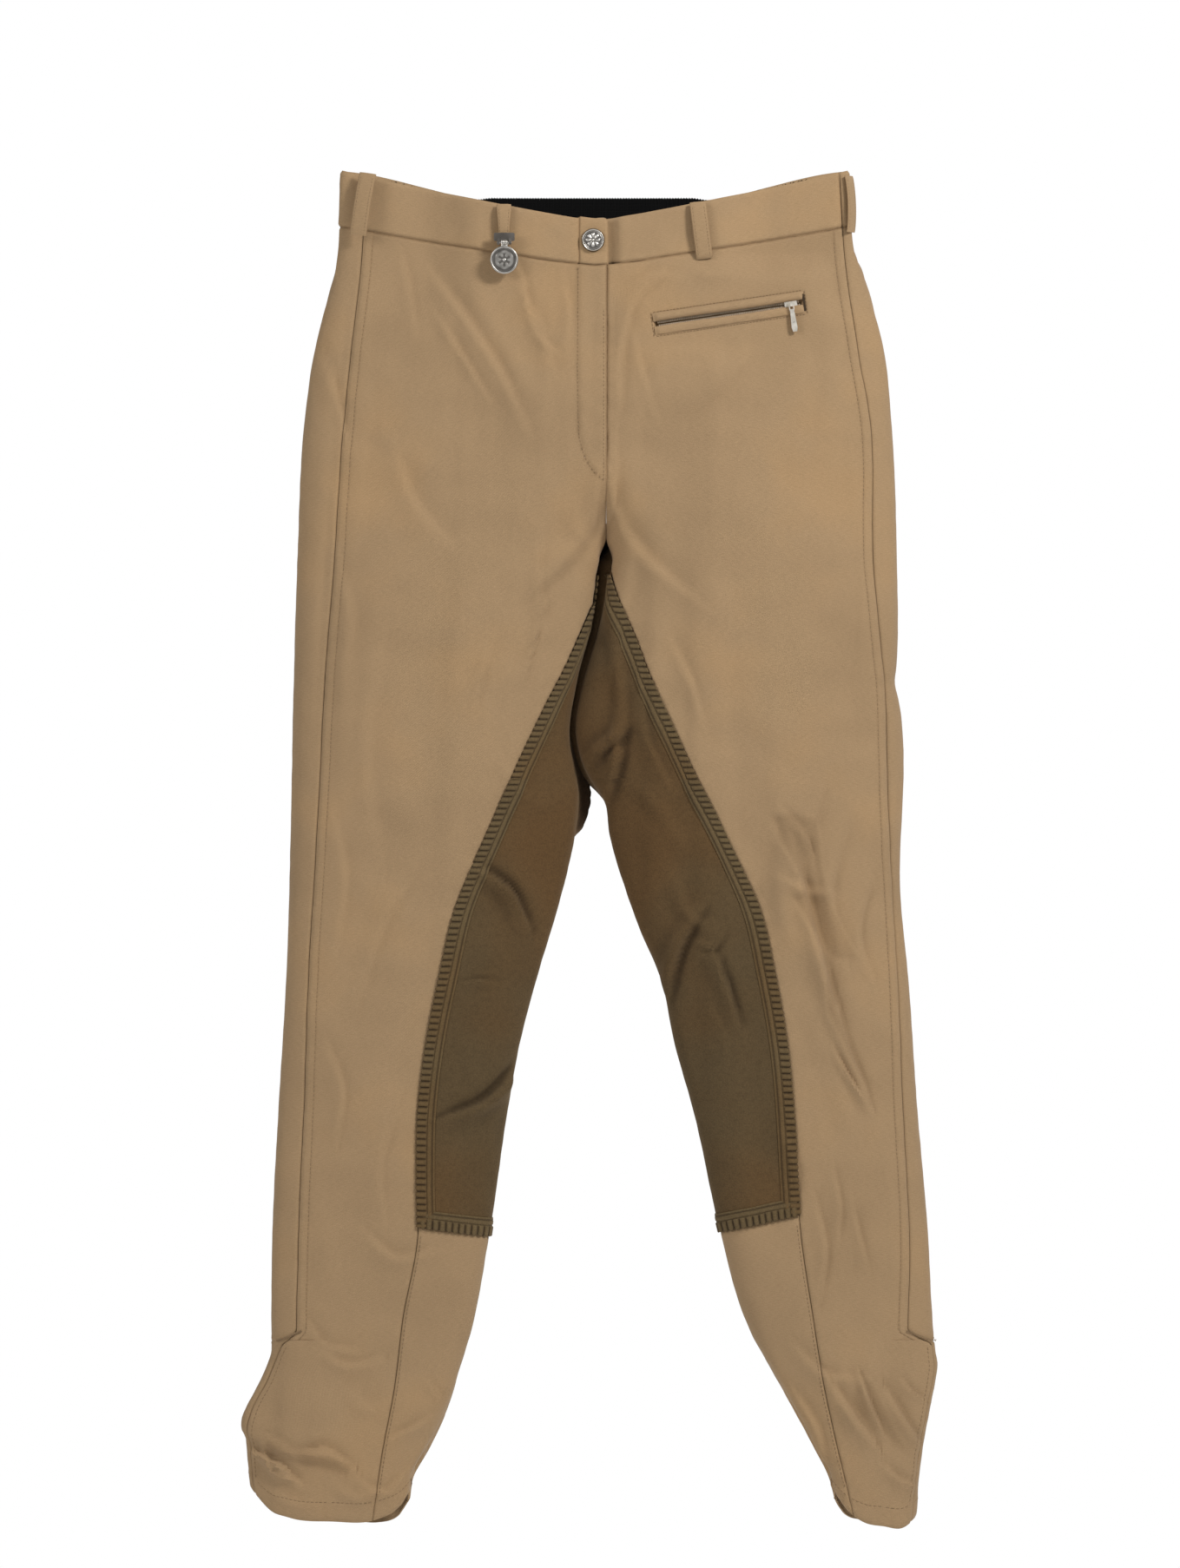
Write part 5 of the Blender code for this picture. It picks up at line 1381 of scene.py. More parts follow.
# Rings of one stitch: (share of its length, width and height as shares of the radius)
STITCH_RINGS = ((0.04, 0.6, -0.25), (0.22, 1.0, 0.1), (0.78, 1.0, 0.1), (0.96, 0.6, -0.25))
STITCH_SIDES = 6
STITCH_SINK = 0.05


def stitch_faces(last):
    """Faces of one stitch: a point, the rings, and a point with index last."""
    faces = []
    final = 1 + (len(STITCH_RINGS) - 1) * STITCH_SIDES
    for k in range(STITCH_SIDES):
        m = (k + 1) % STITCH_SIDES
        faces.append((0, 1 + m, 1 + k))
        for i in range(1, final, STITCH_SIDES):
            faces.append((i + k, i + m, i + STITCH_SIDES + m, i + STITCH_SIDES + k))
        faces.append((final + k, final + m, last))
    return faces


def stitches(name, lines, look="thread", pitch=3.1, gap=0.8, radius=0.3):
    """Rows of short thread stitches lying on the cloth, along (points, normals) lines."""
    rng = np.random.default_rng(len(name) * 7 + len(lines))
    starts, ends, ups = [], [], []
    for points, normals in lines:
        along = lengths(points)
        count = max(1, int(along[-1] / pitch))
        step = along[-1] / count
        at = np.arange(count) * along[-1] / count
        wobble = rng.uniform(-0.12, 0.12, count)
        starts.append(sample(points, along, at + gap / 2 + wobble))
        ends.append(sample(points, along, at + step - gap / 2 + wobble))
        ups.append(unit(sample(normals, along, at + step / 2)))
    start, end, up = np.vstack(starts), np.vstack(ends), np.vstack(ups)
    run = unit(end - start)
    across = unit(np.cross(up, run))
    up = np.cross(run, across)
    size = np.linalg.norm(end - start, axis=1, keepdims=True)
    verts = [start - up * radius * 0.4]
    for share, wide, high in STITCH_RINGS:
        centre = start + run * size * share + up * radius * (high - STITCH_SINK)
        for angle in np.arange(STITCH_SIDES) * 2 * math.pi / STITCH_SIDES:
            spoke = np.cos(angle) * across + 0.8 * np.sin(angle) * up
            verts.append(centre + radius * wide * spoke)
    verts.append(end - up * radius * 0.4)
    verts = np.stack(verts, 1)
    per = verts.shape[1]
    local = stitch_faces(per - 1)
    faces = [tuple(v + base for v in face)
             for base in range(0, len(start) * per, per) for face in local]
    uvs = np.repeat(start[:, [0, 2]], per, 0)
    return make_object(name, verts.reshape(-1, 3), faces, look, uvs, sharp=60)


def plate(name, frame, along, across, top, bottom, look):
    """A closed flat piece over a grid of places, its top and bottom given as heights."""
    return shell(name, frame.at(along, across, top), look, np.stack([along, across], -1),
                 frame.out, inner=frame.at(along, across, bottom))


def join(name, pieces, look, sharp=38):
    """One object from (verts, faces, optional darkening) pieces."""
    verts, faces, shade, base = [], [], [], 0
    for piece_verts, piece_faces, *dark in pieces:
        shade.append(dark[0] if dark else np.zeros(len(piece_verts)))
        verts.append(piece_verts)
        faces += [tuple(int(i) + base for i in face) for face in piece_faces]
        base += len(piece_verts)
    verts = np.vstack(verts)
    return make_object(name, verts, faces, look, verts[:, [0, 2]], np.concatenate(shade), sharp)


def closed_tube(path, radius, sides):
    count = len(path)
    run = unit(np.roll(path, -1, 0) - np.roll(path, 1, 0))
    across = unit(np.cross(run, np.array([0.13, 0.27, 0.95])))
    up = np.cross(run, across)
    angle = np.arange(sides) * 2 * math.pi / sides
    spokes = (np.cos(angle)[None, :, None] * across[:, None]
              + np.sin(angle)[None, :, None] * up[:, None])
    verts = (path[:, None] + radius * spokes).reshape(-1, 3)
    faces = []
    for i in range(count):
        j = (i + 1) % count
        for k in range(sides):
            m = (k + 1) % sides
            faces.append((i * sides + k, i * sides + m, j * sides + m, j * sides + k))
    return verts, faces


def coin(frame, radii, top, under, ground):
    """A round piece: top(radius, angle) over the radii, then rings (radius, height) under it.
    It darkens where the top is low over ground."""
    around = 96
    angle = np.linspace(0, 2 * math.pi, around, endpoint=False)
    verts = [frame.at(0, 0, float(top(np.array([0.0]), np.array([0.0]))[0]))[None]]
    shade = [np.zeros(1)]
    for radius in radii:
        high = top(np.full(around, radius), angle)
        verts.append(frame.at(radius * np.cos(angle), radius * np.sin(angle), high))
        shade.append(1 - smooth(0.05, 0.32, high - ground))
    for radius, height in under:
        verts.append(frame.at(radius * np.cos(angle), radius * np.sin(angle), height))
    verts.append(frame.at(0, 0, under[-1][1])[None])
    shade.append(np.zeros(around * len(under) + 1))
    count = len(radii) + len(under)
    turn = [(k, (k + 1) % around) for k in range(around)]
    faces = [(0, 1 + k, 1 + m) for k, m in turn]
    for i in range(count - 1):
        here, there = 1 + i * around, 1 + (i + 1) * around
        faces += [(here + k, there + k, there + m, here + m) for k, m in turn]
    last, base = 1 + count * around, 1 + (count - 1) * around
    faces += [(base + m, base + k, last) for k, m in turn]
    return np.vstack(verts), faces, np.concatenate(shade)


def block(frame, low, high, bevel):
    """A small box with bevelled edges."""
    low, high = np.array(low), np.array(high)
    middle, half = (low + high) / 2, (high - low) / 2
    box = bmesh.new()
    bmesh.ops.create_cube(box, size=2)
    for vert in box.verts:
        vert.co = Vector([vert.co[k] * half[k] for k in range(3)])
    bmesh.ops.bevel(box, geom=box.edges[:], offset=bevel, segments=1, affect="EDGES")
    verts = np.array([vert.co[:] for vert in box.verts]) + middle
    box.verts.index_update()
    faces = [[vert.index for vert in face.verts] for face in box.faces]
    box.free()
    return frame.at(verts[:, 0], verts[:, 1], verts[:, 2]), faces


def front_line(level, face=0):
    """The whole front (face 0) or back (face 1) line, from the right fold to the left fold."""
    right, left = section("right", level), section("left", level)
    first, second = (right.front, left.front) if face == 0 else (right.back, left.back)
    return np.vstack([first, second[::-1][1:]])


def at_x(line, x):
    return sample(line, line[:, 0], x)


# ---------------------------------------------------------------- topstitching
# Ends (x, z) of the bartack at the top of each ankle slit
SLIT_BARTACK = {"right": ((-209.5, 142.5), (-226.0, 135.0)),
                "left": ((230.5, 142.5), (250.0, 134.5))}


def fly_stitching():
    points, normals = (grid.reshape(-1, 3) for grid in LAID["front_upper_right"][:2])
    path = [(-8.2, 912)] + FLY_LINE[1:-1] + [(10.8, 757)]
    keys, dense = np.linspace(0, 1, len(path)), np.linspace(0, 1, 120)
    path_x, path_z = (curve([(key, place[k]) for key, place in zip(keys, path)], dense)
                      for k in range(2))
    line, line_normals = [], []
    for x, z in zip(path_x, path_z):
        away = (points[:, 0] - x) ** 2 + (points[:, 2] - z) ** 2
        near = np.argsort(away)[:4]
        weight = 1 / (away[near] + 0.02)
        line.append((x, (points[near, 1] * weight).sum() / weight.sum(), z))
        line_normals.append(unit((normals[near] * weight[:, None]).sum(0)))
    lines = [(np.array(line), np.array(line_normals)),
             along_edge("front_upper_right", 1, 1.8, 906, 757)]
    hang_fly(stitches("fly_stitch_thread", lines, radius=0.27, pitch=2.8))


def panel_stitching(side):
    thigh = along_edge
    if side == "right":
        line = along_edge("front_upper_right", 0, STITCH_IN, 935, 744)
        ride(stitches("side_thread_upper_right", [line]), "hips")
        line = along_edge("front_thigh_right", 0, STITCH_IN)
    else:
        line = thigh("front_thigh_left", 0, STITCH_IN, 935)
    hang(stitches("side_thread_thigh_" + side, [line]), "hip", side)
    line = along_edge("front_shin_" + side, 0, STITCH_IN)
    hang(stitches("side_thread_shin_" + side, [line]), "knee", side)
    calf = "inner_calf_%s_cloth" % side
    ride(stitches("seam_thread_calf_" + side,
                  [along_edge(calf, 0, 1.9, 212, 18), along_row(calf, HEM_STITCH)]),
         "shin_" + side)
    ride(stitches("hem_thread_front_" + side,
                  [along_row("front_ankle_" + side, HEM_STITCH, 0.5)]), "shin_" + side)
    hang(stitches("hem_thread_back_" + side,
                  [along_row("back_shin_%s_cloth" % side, HEM_STITCH)]), "knee", side)
    flap = "ankle_flap_cover_" + side
    hang(stitches("flap_thread_" + side,
                  [along_edge(flap, 0, 3.6, 132, 14), along_row(flap, HEM_STITCH, 4)]),
         "flap", side)
    line = along_row("back_yoke_%s_cloth" % side, YOKE_SEAM + 2.2, 1.5,
                     section(side, YOKE_SEAM).seam + 10)
    ride(stitches("yoke_thread_" + side, [line]), "hips")
    seat = "seat_suede_" + side
    lines = [along_edge(seat, 1, 5.0, 868), along_edge(seat, 1, 11.0, 868),
             along_row(seat, YOKE_SEAM - 2.6)]
    hang(stitches("seat_thread_" + side, lines, "thread_dark", radius=0.26), "hip", side)
    hang(stitches("knee_thread_" + side, [along_edge("knee_suede_" + side, 1, 11.0)],
                  "thread_dark", radius=0.26), "knee", side)


def slit_bartack(side):
    start, stop = (np.array(place) for place in SLIT_BARTACK[side])
    tilt = unit([stop[1] - start[1], 0, start[0] - stop[0]])
    bars = []
    for t in np.linspace(0, 1, 26):
        x, z = (1 - t) * start + t * stop
        cut = section(side, z)
        along = cut.front_along(x)
        point = cut.points(np.array([-along]))[0][0]
        pair = cut.points(np.array([-along - 1.0, -along + 1.0]))[0]
        up = unit(np.cross(pair[1] - pair[0], [0, 0, 1.0]))
        if up[1] > 0:
            up = -up
        share = np.array([min(1.0, along / cut.front_len)])
        middle = (point + up * 1.15 + drape_at(side, z, np.array([0]), share)[0]
                  + up * float(relief(point[None])[0]))
        bars.append((np.array([middle - tilt * 0.9, middle + tilt * 0.9]), np.array([up, up])))
    ride(stitches("slit_bartack_" + side, bars, pitch=4.0, gap=0.1, radius=0.34), "shin_" + side)


fly_stitching()
for side in SIDES:
    panel_stitching(side)
    slit_bartack(side)


# ---------------------------------------------------------- gusset and bindings
RIB = 4.7  # pitch of the binding's ribs
# Places across the binding, measured from the seam it covers
BIND_AT = np.array([-1.6, -0.9, -0.2, 0.8, 2.2, 3.8, 5.2, 5.9, 6.5, 7.2, 8.4, 9.5, 10.1, 10.6,
                    11.4, 12.2])


def crotch_gusset():
    """A near-black sheet of painted shadow in the gap behind the two front halves."""
    across, down = np.meshgrid(np.linspace(0, 1, 26), np.linspace(0, 1, 30))
    points = np.stack([1.0 + 23.0 * across, 7.0 + 5.0 * np.sin(math.pi * across) + 3.0 * down,
                       727.0 - 49.0 * down], -1)
    narrow = 1 - 0.35 * smooth(0.4, 1.0, down)
    points[..., 0] = 12.5 + (points[..., 0] - 12.5) * narrow
    points[..., 1] += 0.5 * undulate(points[..., 0], points[..., 2], 18, 3)
    # near-black suede, darkened almost fully by painted shade
    shadow_suede = shell("crotch_gusset", points, "shadow_suede", points[..., [0, 2]],
                   np.array([0, -1.0, 0]), np.full(points.shape[:2], 0.96), SUEDE)
    ride(shadow_suede, "hips")


def dense_rows(grid, count):
    """Cubic in-between rows of a grid."""
    rows = grid.shape[0]
    at = np.linspace(0, rows - 1, count)
    i = np.clip(at.astype(int), 0, rows - 2)
    weights = cubic_weights(at - i)
    total = 0
    for k in range(4):
        total = total + weights[:, k][:, None, None] * grid[np.clip(i - 1 + k, 0, rows - 1)]
    return total


def binding(name, base, normals):
    """Ribbed binding laid along a seam; the columns of base stand at BIND_AT."""
    count = int(lengths(base[:, 2])[-1] / RIB * 9)
    points, normals = dense_rows(base, count), unit(dense_rows(normals, count))
    along = lengths(points[:, 2])
    irregular = 0.10 * np.sin(along / 13.0) + 0.08 * np.sin(along / 5.3 + 1)
    rib = (np.abs(np.sin(along / RIB * math.pi + irregular)) ** 0.45)[:, None]
    away = BIND_AT[None, :] * np.ones((count, 1))
    ribbed = 1 - smooth(5.4, 6.4, away)
    depth = (1.35 * rib ** 0.8 * ribbed * smooth(-2.2, -0.8, away)
             + 0.75 * smooth(6.2, 7.0, away) * (1 - smooth(10.6, 11.8, away))
             - 0.5 * bell(away - 10.3, 0.5))
    scallop = (1.0 - rib) * 1.7 * (1 - smooth(-0.4, 2.2, away))
    points = (points + unit(np.gradient(points, axis=1)) * scallop[..., None]
              + normals * (0.85 + depth)[..., None])
    # painted shade between the ribs, in the groove by the stitch line and at the step
    seam = np.clip((1 - rib) * 1.9 - 0.1, 0, 1) * ribbed
    seam = np.maximum(seam, 0.8 * bell(away - 10.3, 0.7))
    seam = np.maximum(seam, 0.6 * bell(away - 6.4, 0.45))
    uv = np.stack([away, along[:, None] * np.ones_like(away)], -1)
    return shell(name, points, "edging", uv, normals, seam, 1.5)


def on_cloth(base, side, level):
    """The grid raised onto the folded cloth, with its normals."""
    normals = facing(base, leg_outward(base, side, level))
    return base + normals * relief(base)[..., None], normals


def seam_binding(name, side, levels, edge, toward):
    """Binding down a seam: toward is the direction of sigma from the seam onto the twill."""
    base = np.array([surface_row(side, level, edge(section(side, level)) + toward * BIND_AT)
                     for level in levels])
    return binding(name, *on_cloth(base, side, levels[len(levels) // 2]))


def bottom_binding(side):
    """Binding along the bottom of the suede, from its front edge round to its back edge."""
    def ends(cut):
        return binding_front(cut) - 1.0, binding_back(cut) + 1.0

    cut = section(side, PATCH_END)
    first, last = ends(cut)
    shares = np.linspace(0, 1, 90)
    levels = [bottom_level(side, cut.points(np.array([first + (last - first) * t]))[0][0, 0])
              for t in shares]
    rows = []
    for away in BIND_AT:
        row = []
        for t, level in zip(shares, levels):
            cut = section(side, round(level + away, 1))
            first, last = ends(cut)
            sigma = np.array([first + (last - first) * t])
            row.append(surface_row(side, cut.level, sigma)[0])
        rows.append(row)
    base = np.array(rows).transpose(1, 0, 2)
    hang(binding("edging_bottom_" + side, *on_cloth(base, side, PATCH_END)), "knee", side)


def suede_bindings(side):
    split = PANEL_SPLIT
    foot = BOTTOM[side][0][0][1]
    thigh = seam_binding("edging_front_thigh_" + side, side, np.arange(690.0, split - 0.1, -4.0),
                         binding_front, -1)
    hang(thigh, "hip", side)
    knee = seam_binding("edging_front_knee_" + side, side,
                        np.append(np.arange(split, foot + 3.0, -4.0), foot - 0.5),
                        binding_front, -1)
    hang(knee, "knee", side)
    back = seam_binding("edging_back_thigh_" + side, side,
                        np.append(np.arange(YOKE_SEAM - 1, split, -4.0), split), binding_back, 1)
    hang(back, "hip", side)
    back = seam_binding("edging_back_knee_" + side, side,
                        np.concatenate([np.arange(split, 222.0, -4.0), [219.0, 215.0]]),
                        binding_back, 1)
    hang(back, "knee", side)
    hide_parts("edging_thigh_" + side)
    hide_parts("edging_knee_" + side)


crotch_gusset()
for side in SIDES:
    suede_bindings(side)
    bottom_binding(side)

# -------------------------------------------------------------------- waistband
BAND_LEVELS = np.concatenate([[983.0, 982.7, 982.2, 981.4, 980.2], np.linspace(978.5, 946.0, 14),
                              [944.6, 943.6, 942.9, 942.4, 942.0]])
TAB_END = 13.4  # x of the right band's rounded end
TAB_CREASE = -7.6  # x of the crease before it


def spread(start, end):
    """Places about 2 apart, closer together at both ends."""
    return np.concatenate([start + np.array([0, 0.4, 1.0, 1.8]),
                           np.linspace(start + 3, end - 3, max(3, int((end - start - 6) / 2.0))),
                           end - np.array([1.8, 1.0, 0.4, 0])])


RIGHT_PLACES = np.sort(np.concatenate([spread(-160.4, TAB_END), [-8.6, -8.1, -7.6, -7.1, -6.6]]))
LEFT_PLACES = spread(-4.6, 178.0)


def right_band_line(level):
    at, first = RIGHT_PLACES.copy(), RIGHT_PLACES[0]
    seam = float(curve(SIDE["right"], level)) + 0.3
    at = at + (seam - first) * (1 - smooth(first, first + 30, at))
    drop = max(0.0, level - 978.0) / 5.0
    end = (TAB_END - 5.0 * (1 - math.sqrt(max(0.0, 1 - drop * drop)))
           + 0.4 * (WAIST_TOP - level) / BAND_DEPTH)
    at = at + (end - RIGHT_PLACES[-1]) * smooth(0, RIGHT_PLACES[-1], at)
    row = at_x(front_line(level), at)
    row[:, 2] += 1.4 * smooth(-9.0, -6.5, at) * smooth(960, WAIST_TOP, level)
    return row


def left_band_line(level):
    """Its inner end lies behind the right band."""
    at, last = LEFT_PLACES.copy(), LEFT_PLACES[-1]
    seam = float(curve(SIDE["left"], level)) - 0.3
    at = at + (seam - last) * smooth(last - 30, last, at)
    row = at_x(front_line(level), at)
    row[:, 1] += 4.4 * (1 - smooth(15.5, 24, at))
    return row


def back_band_line(level, count=300):
    """From the right side seam round the back to the left side seam."""
    margin = 0.3
    ends = []
    for side in SIDES:
        cut = section(side, level)
        keep = cut.front_run <= cut.seam - margin
        edge = sample(cut.front, cut.front_run, cut.seam - margin)
        ends.append(np.vstack([edge, cut.front[keep][::-1], cut.back[1:]]))
    return resample(np.vstack([ends[0], ends[1][::-1][1:]]), count)


def gathers(along, points):
    held = (1 - smooth(118, 150, np.abs(points[..., 0] - 4))) * smooth(2, 8, points[..., 1])
    return held * (0.75 * np.sin(along / 1.25 + 1.4 * np.sin(along / 9.0))
                   + 0.3 * np.sin(along / 0.7))


def band(name, line_at, replaced, back=False, tab=False):
    points = np.array([line_at(level) for level in BAND_LEVELS])
    outward = away_from(points, CENTRE, 12)
    normals = facing(points, outward)
    x, z = points[..., 0], points[..., 2]
    levels = BAND_LEVELS[:, None] * np.ones(points.shape[:2])
    top, low = WAIST_TOP - levels, levels - WAIST_SEAM
    roll = 1.25 * (1 - smooth(0, 2.6, top)) ** 1.3
    free = np.ones_like(x)
    if not back:
        for clip in CLIPS:
            free = free * smooth(CLIP_FLAT - 2, CLIP_FLAT + 10, np.abs(x - clip))
    height = 0.75 + free * (0.28 * undulate(x, z, 34, 4) + 0.12 * undulate(x, z, 15, 2))
    # puckers along the bottom seam and along the top edge
    height = height + (0.28 * np.sin(x / 1.7 + 2.2 * np.sin(x / 11.0)) * bell(low, 5.0)
                       * (0.4 + 0.6 * smooth(-20, 30, x)))
    height = height + (0.25 * np.sin(x / 2.9 + 1.7 * np.sin(x / 19.0)) * bell(top, 7.0)
                       * smooth(0.6, 3, top) * free)
    height = height - 1.5 * (1 - smooth(0, 2.6, low)) ** 1.3
    # painted shade in the bottom seam's groove
    seam = 0.85 * (1 - smooth(0.2, 1.8, low))
    along = np.array([lengths(row) for row in points])
    for away in (along, along[:, -1:] - along):
        height = height - 0.9 * (1 - smooth(0, 1.8, away)) ** 1.3
        # painted shade where the ends roll under
        seam = np.maximum(seam, 0.6 * (1 - smooth(0.2, 1.4, away)))
    if tab:
        height = height - 0.8 * bell(x - TAB_CREASE, 0.7) + 0.5 * smooth(TAB_CREASE, -6.0, x)
        # painted shade in the tab's crease
        seam = np.maximum(seam, 0.75 * bell(x - TAB_CREASE, 0.55))
    if back:
        height = height + gathers(along, points)
    outer = points + normals * (height - roll)[..., None]
    inner = points - normals * (BAND - 0.8 - roll * 0.9)[..., None]
    made = shell(name, outer, "band", np.stack([along, levels], -1), outward, seam, inner=inner)
    ride(made, "hips", replaced)


def shift(line, amount):
    """A line moved sideways in plan, towards its middle."""
    run = np.gradient(line[:, :2], axis=0)
    square = unit(np.column_stack([-run[:, 1], run[:, 0]]))
    middle = line[:, :2].mean(axis=0) * [1, 0]
    if (square * (line[:, :2] - middle)).sum() > 0:
        square = -square
    moved = line.copy()
    moved[:, :2] += square * amount
    return moved


def waist_elastic():
    """Black webbing inside the back of the waistband, standing just over its top in the middle."""
    upper, lower = (back_band_line(level, 421) for level in (WAIST_TOP, WAIST_SEAM + 0.5))
    keep = [k for k in range(421) if -146 < upper[k, 0] < 158 and upper[k, 1] > 3]
    upper, lower = (shift(line, 3.8)[keep] for line in (upper, lower))
    shares = np.concatenate([[-0.035, -0.02, 0.0, 0.02], np.linspace(0.05, 0.92, 16)])
    points = np.array([upper + (lower - upper) * share for share in shares])
    far = smooth(72, 92, np.abs(upper[:, 0] - 2))[None, :]
    points[:4, :, 2] -= far * np.array([3.4, 2.8, 2.0, 1.2])[:, None]
    # ragged top edge
    points[0, ::2, 2] += 0.5
    points[0, 1::2, 2] -= 0.3
    cord = 0.22 * np.sin(np.arange(len(keep)) * 2.1)[None, :] * np.ones((len(shares), 1))
    outward = away_from(points, CENTRE, 12)
    normals = facing(points, outward)
    uv = np.stack([lengths(upper)[None, :] * np.ones_like(cord),
                   -BAND_DEPTH * shares[:, None] * np.ones_like(cord)], -1)
    elastic = shell("waist_elastic_webbing", points + normals * cord[..., None], "elastic", uv,
                    outward, thickness=1.1)
    ride(elastic, "hips", "waist_elastic")


band("waistband_right", right_band_line, "waistband_front_right", tab=True)
band("waistband_left", left_band_line, "waistband_front_left")
band("waistband_rear", back_band_line, "waistband_back", back=True)
waist_elastic()

# -------------------------------------------------------------------- belt loops
LOOP_RUN = np.linspace(0, 1, 34)  # shares from the loop's top to its bottom
LOOP_BOW = np.sin(math.pi * np.clip(LOOP_RUN * 0.96 + 0.02, 0, 1)) ** 0.55
LOOP_THICK = 1.3


def belt_loop(name, centre, out, width):
    """A strip along a centre line, with two rows of stitches."""
    run = unit(np.gradient(centre, axis=0))
    out = unit(out - run * (run @ out)[:, None])
    across = unit(np.cross(run, out))
    width = np.broadcast_to(width, (len(centre),))
    side = np.array([-1, -0.94, -0.84, -0.7, -0.55, -0.3, 0, 0.3, 0.55, 0.7, 0.84, 0.94, 1.0])
    round_off = np.abs(side) ** 8
    lift = 0.35 - 0.75 * round_off - 0.25 * bell(np.abs(side) - 0.66, 0.07)
    wide = side[None, :] * width[:, None] / 2
    flat = centre[:, None] + across[:, None] * wide[..., None]
    points = flat + out[:, None] * lift[None, :, None]
    inner = flat - out[:, None] * (LOOP_THICK - 0.45 * round_off)[None, :, None]
    uv = np.stack([wide, lengths(centre)[:, None] * np.ones((1, len(side)))], -1)
    # painted shade along the loop's turned-under edges
    seam = 0.7 * smooth(0.9, 1.0, np.abs(side))[None, :] * np.ones((len(centre), 1))
    made = shell("loop_" + name, points, "band", uv, out[:, None], seam, inner=inner)
    lines = [(points[2:-2, k], out[2:-2]) for k in (3, 9)]
    thread = stitches("loop_%s_thread" % name, lines, radius=0.22, pitch=2.4, gap=0.7)
    ride(made, "hips", "belt_loop_" + name)
    ride(thread, "hips")


def band_loop(name, x_top, x_bottom, face, down, width):
    """A loop over the band on the front (face 0) or back (face 1), ending down below its seam."""
    sign = -1 if face == 0 else 1
    places = ((x_top, WAIST_TOP - 1.0), (x_bottom, WAIST_SEAM - down), (x_bottom, WAIST_SEAM))
    picks = [at_x(front_line(level, face), x)[0] for x, level in places]
    edge = sign * max(sign * pick[1] for pick in picks) + sign * 1.3
    centre = picks[0] + (picks[1] - picks[0]) * LOOP_RUN[:, None]
    centre[:, 1] = (edge + sign * (0.6 + 3.2 * LOOP_BOW)
                    - sign * 0.9 * (1 - smooth(0, 0.05, LOOP_RUN))
                    - sign * 0.9 * smooth(0.95, 1, LOOP_RUN))
    centre[:, 2] += 0.9 * (1 - smooth(0, 0.06, LOOP_RUN))
    belt_loop(name, centre, np.array([0.0, sign, 0.0]), width)


def side_loop(name, top, bottom, out, width, rise):
    out = unit(out)
    top, bottom = np.array(top), np.array(bottom)
    centre = top + (bottom - top) * LOOP_RUN[:, None] + out * (rise * LOOP_BOW)[:, None]
    belt_loop(name, centre, out, width)


band_loop("front_right", -62.0, -62.0, face=0, down=-0.5,
          width=10.6 - 2.4 * np.sin(math.pi * LOOP_RUN) ** 2)
band_loop("front_left", 78.2, 83.2, face=0, down=6.0, width=12.0)
band_loop("back", 12.0, 12.0, face=1, down=6.0, width=11.0)
left_edge = max(section("left", level).front[0, 0]
                for level in (WAIST_TOP, WAIST_SEAM, WAIST_SEAM - 6))
side_loop("side_right", (-160.4, -14.6, 980.4), (-167.6, -16.6, 935.5), out=(-0.25, -1, 0),
          width=12.5, rise=3.0)
side_loop("side_left", (left_edge - 2.6, -4.5, 979.0), (left_edge - 1.2, -5.5, 938.0),
          out=(1, -0.6, 0), width=11.5, rise=2.4)


# ---------------------------------------------------------------- zipped pocket
def pocket_lip(name, low, high, crown, *replaced):
    """A soft fold of cloth beside the zip, from its inner lip to its stitched edge."""
    along, share = np.meshgrid(np.linspace(-1.6, POCKET_LEN + 1.6, 130), np.linspace(0, 1, 17),
                               indexing="ij")
    across = low + (high - low) * share
    arch = np.sin(math.pi * share)
    # the sine of pi may come out a hair below zero, which a power can't take
    bulge = 0.55 + crown * np.sin(math.pi * np.clip(share, 0, 1)) ** 0.7 * (1 - 0.35 * share)
    ends = np.minimum(along + 1.6, POCKET_LEN + 1.6 - along)
    top = (bulge * (0.35 + 0.65 * smooth(0, 4.0, ends))
           + 0.12 * np.sin(along / 2.3 + 1.5 * np.sin(along / 9.0)) * arch)
    top = top - 1.3 * smooth(0.86, 1.0, share) + 0.15 * undulate(along, across, 28, 3)
    across = across + 0.25 * np.sin(along / 14.0) * (1 - share)
    top = np.maximum(top, 0.12)
    made = plate(name, POCKET, along, across, top, np.full_like(top, -1.1), "twill")
    ride(made, "hips", *replaced)


def pocket_stitching():
    """A box of stitches round the lips, and a bartack at the outer end."""
    low, high = -8.7, 8.9
    lines = []
    for across in (high, low):
        along = np.linspace(-1.0, POCKET_LEN + 1.0, 60)
        lines.append((POCKET.at(along, across, 0.25), np.tile(POCKET.out, (60, 1))))
    for along in (-2.6, POCKET_LEN + 2.6):
        across = np.linspace(low, high, 24)
        lines.append((POCKET.at(along, across, 0.25), np.tile(POCKET.out, (24, 1))))
    ride(stitches("pocket_thread", lines, radius=0.24, pitch=2.4, gap=0.7), "hips")
    ends = np.array([POCKET_LEN + 0.3, POCKET_LEN + 2.1])
    bars = [(POCKET.at(ends, across, 1.0), np.tile(POCKET.out, (2, 1)))
            for across in np.arange(-6.2, 6.3, 0.42)]
    ride(stitches("pocket_bartack", bars, "thread_dark", pitch=5.0, gap=0.05, radius=0.24),
         "hips")


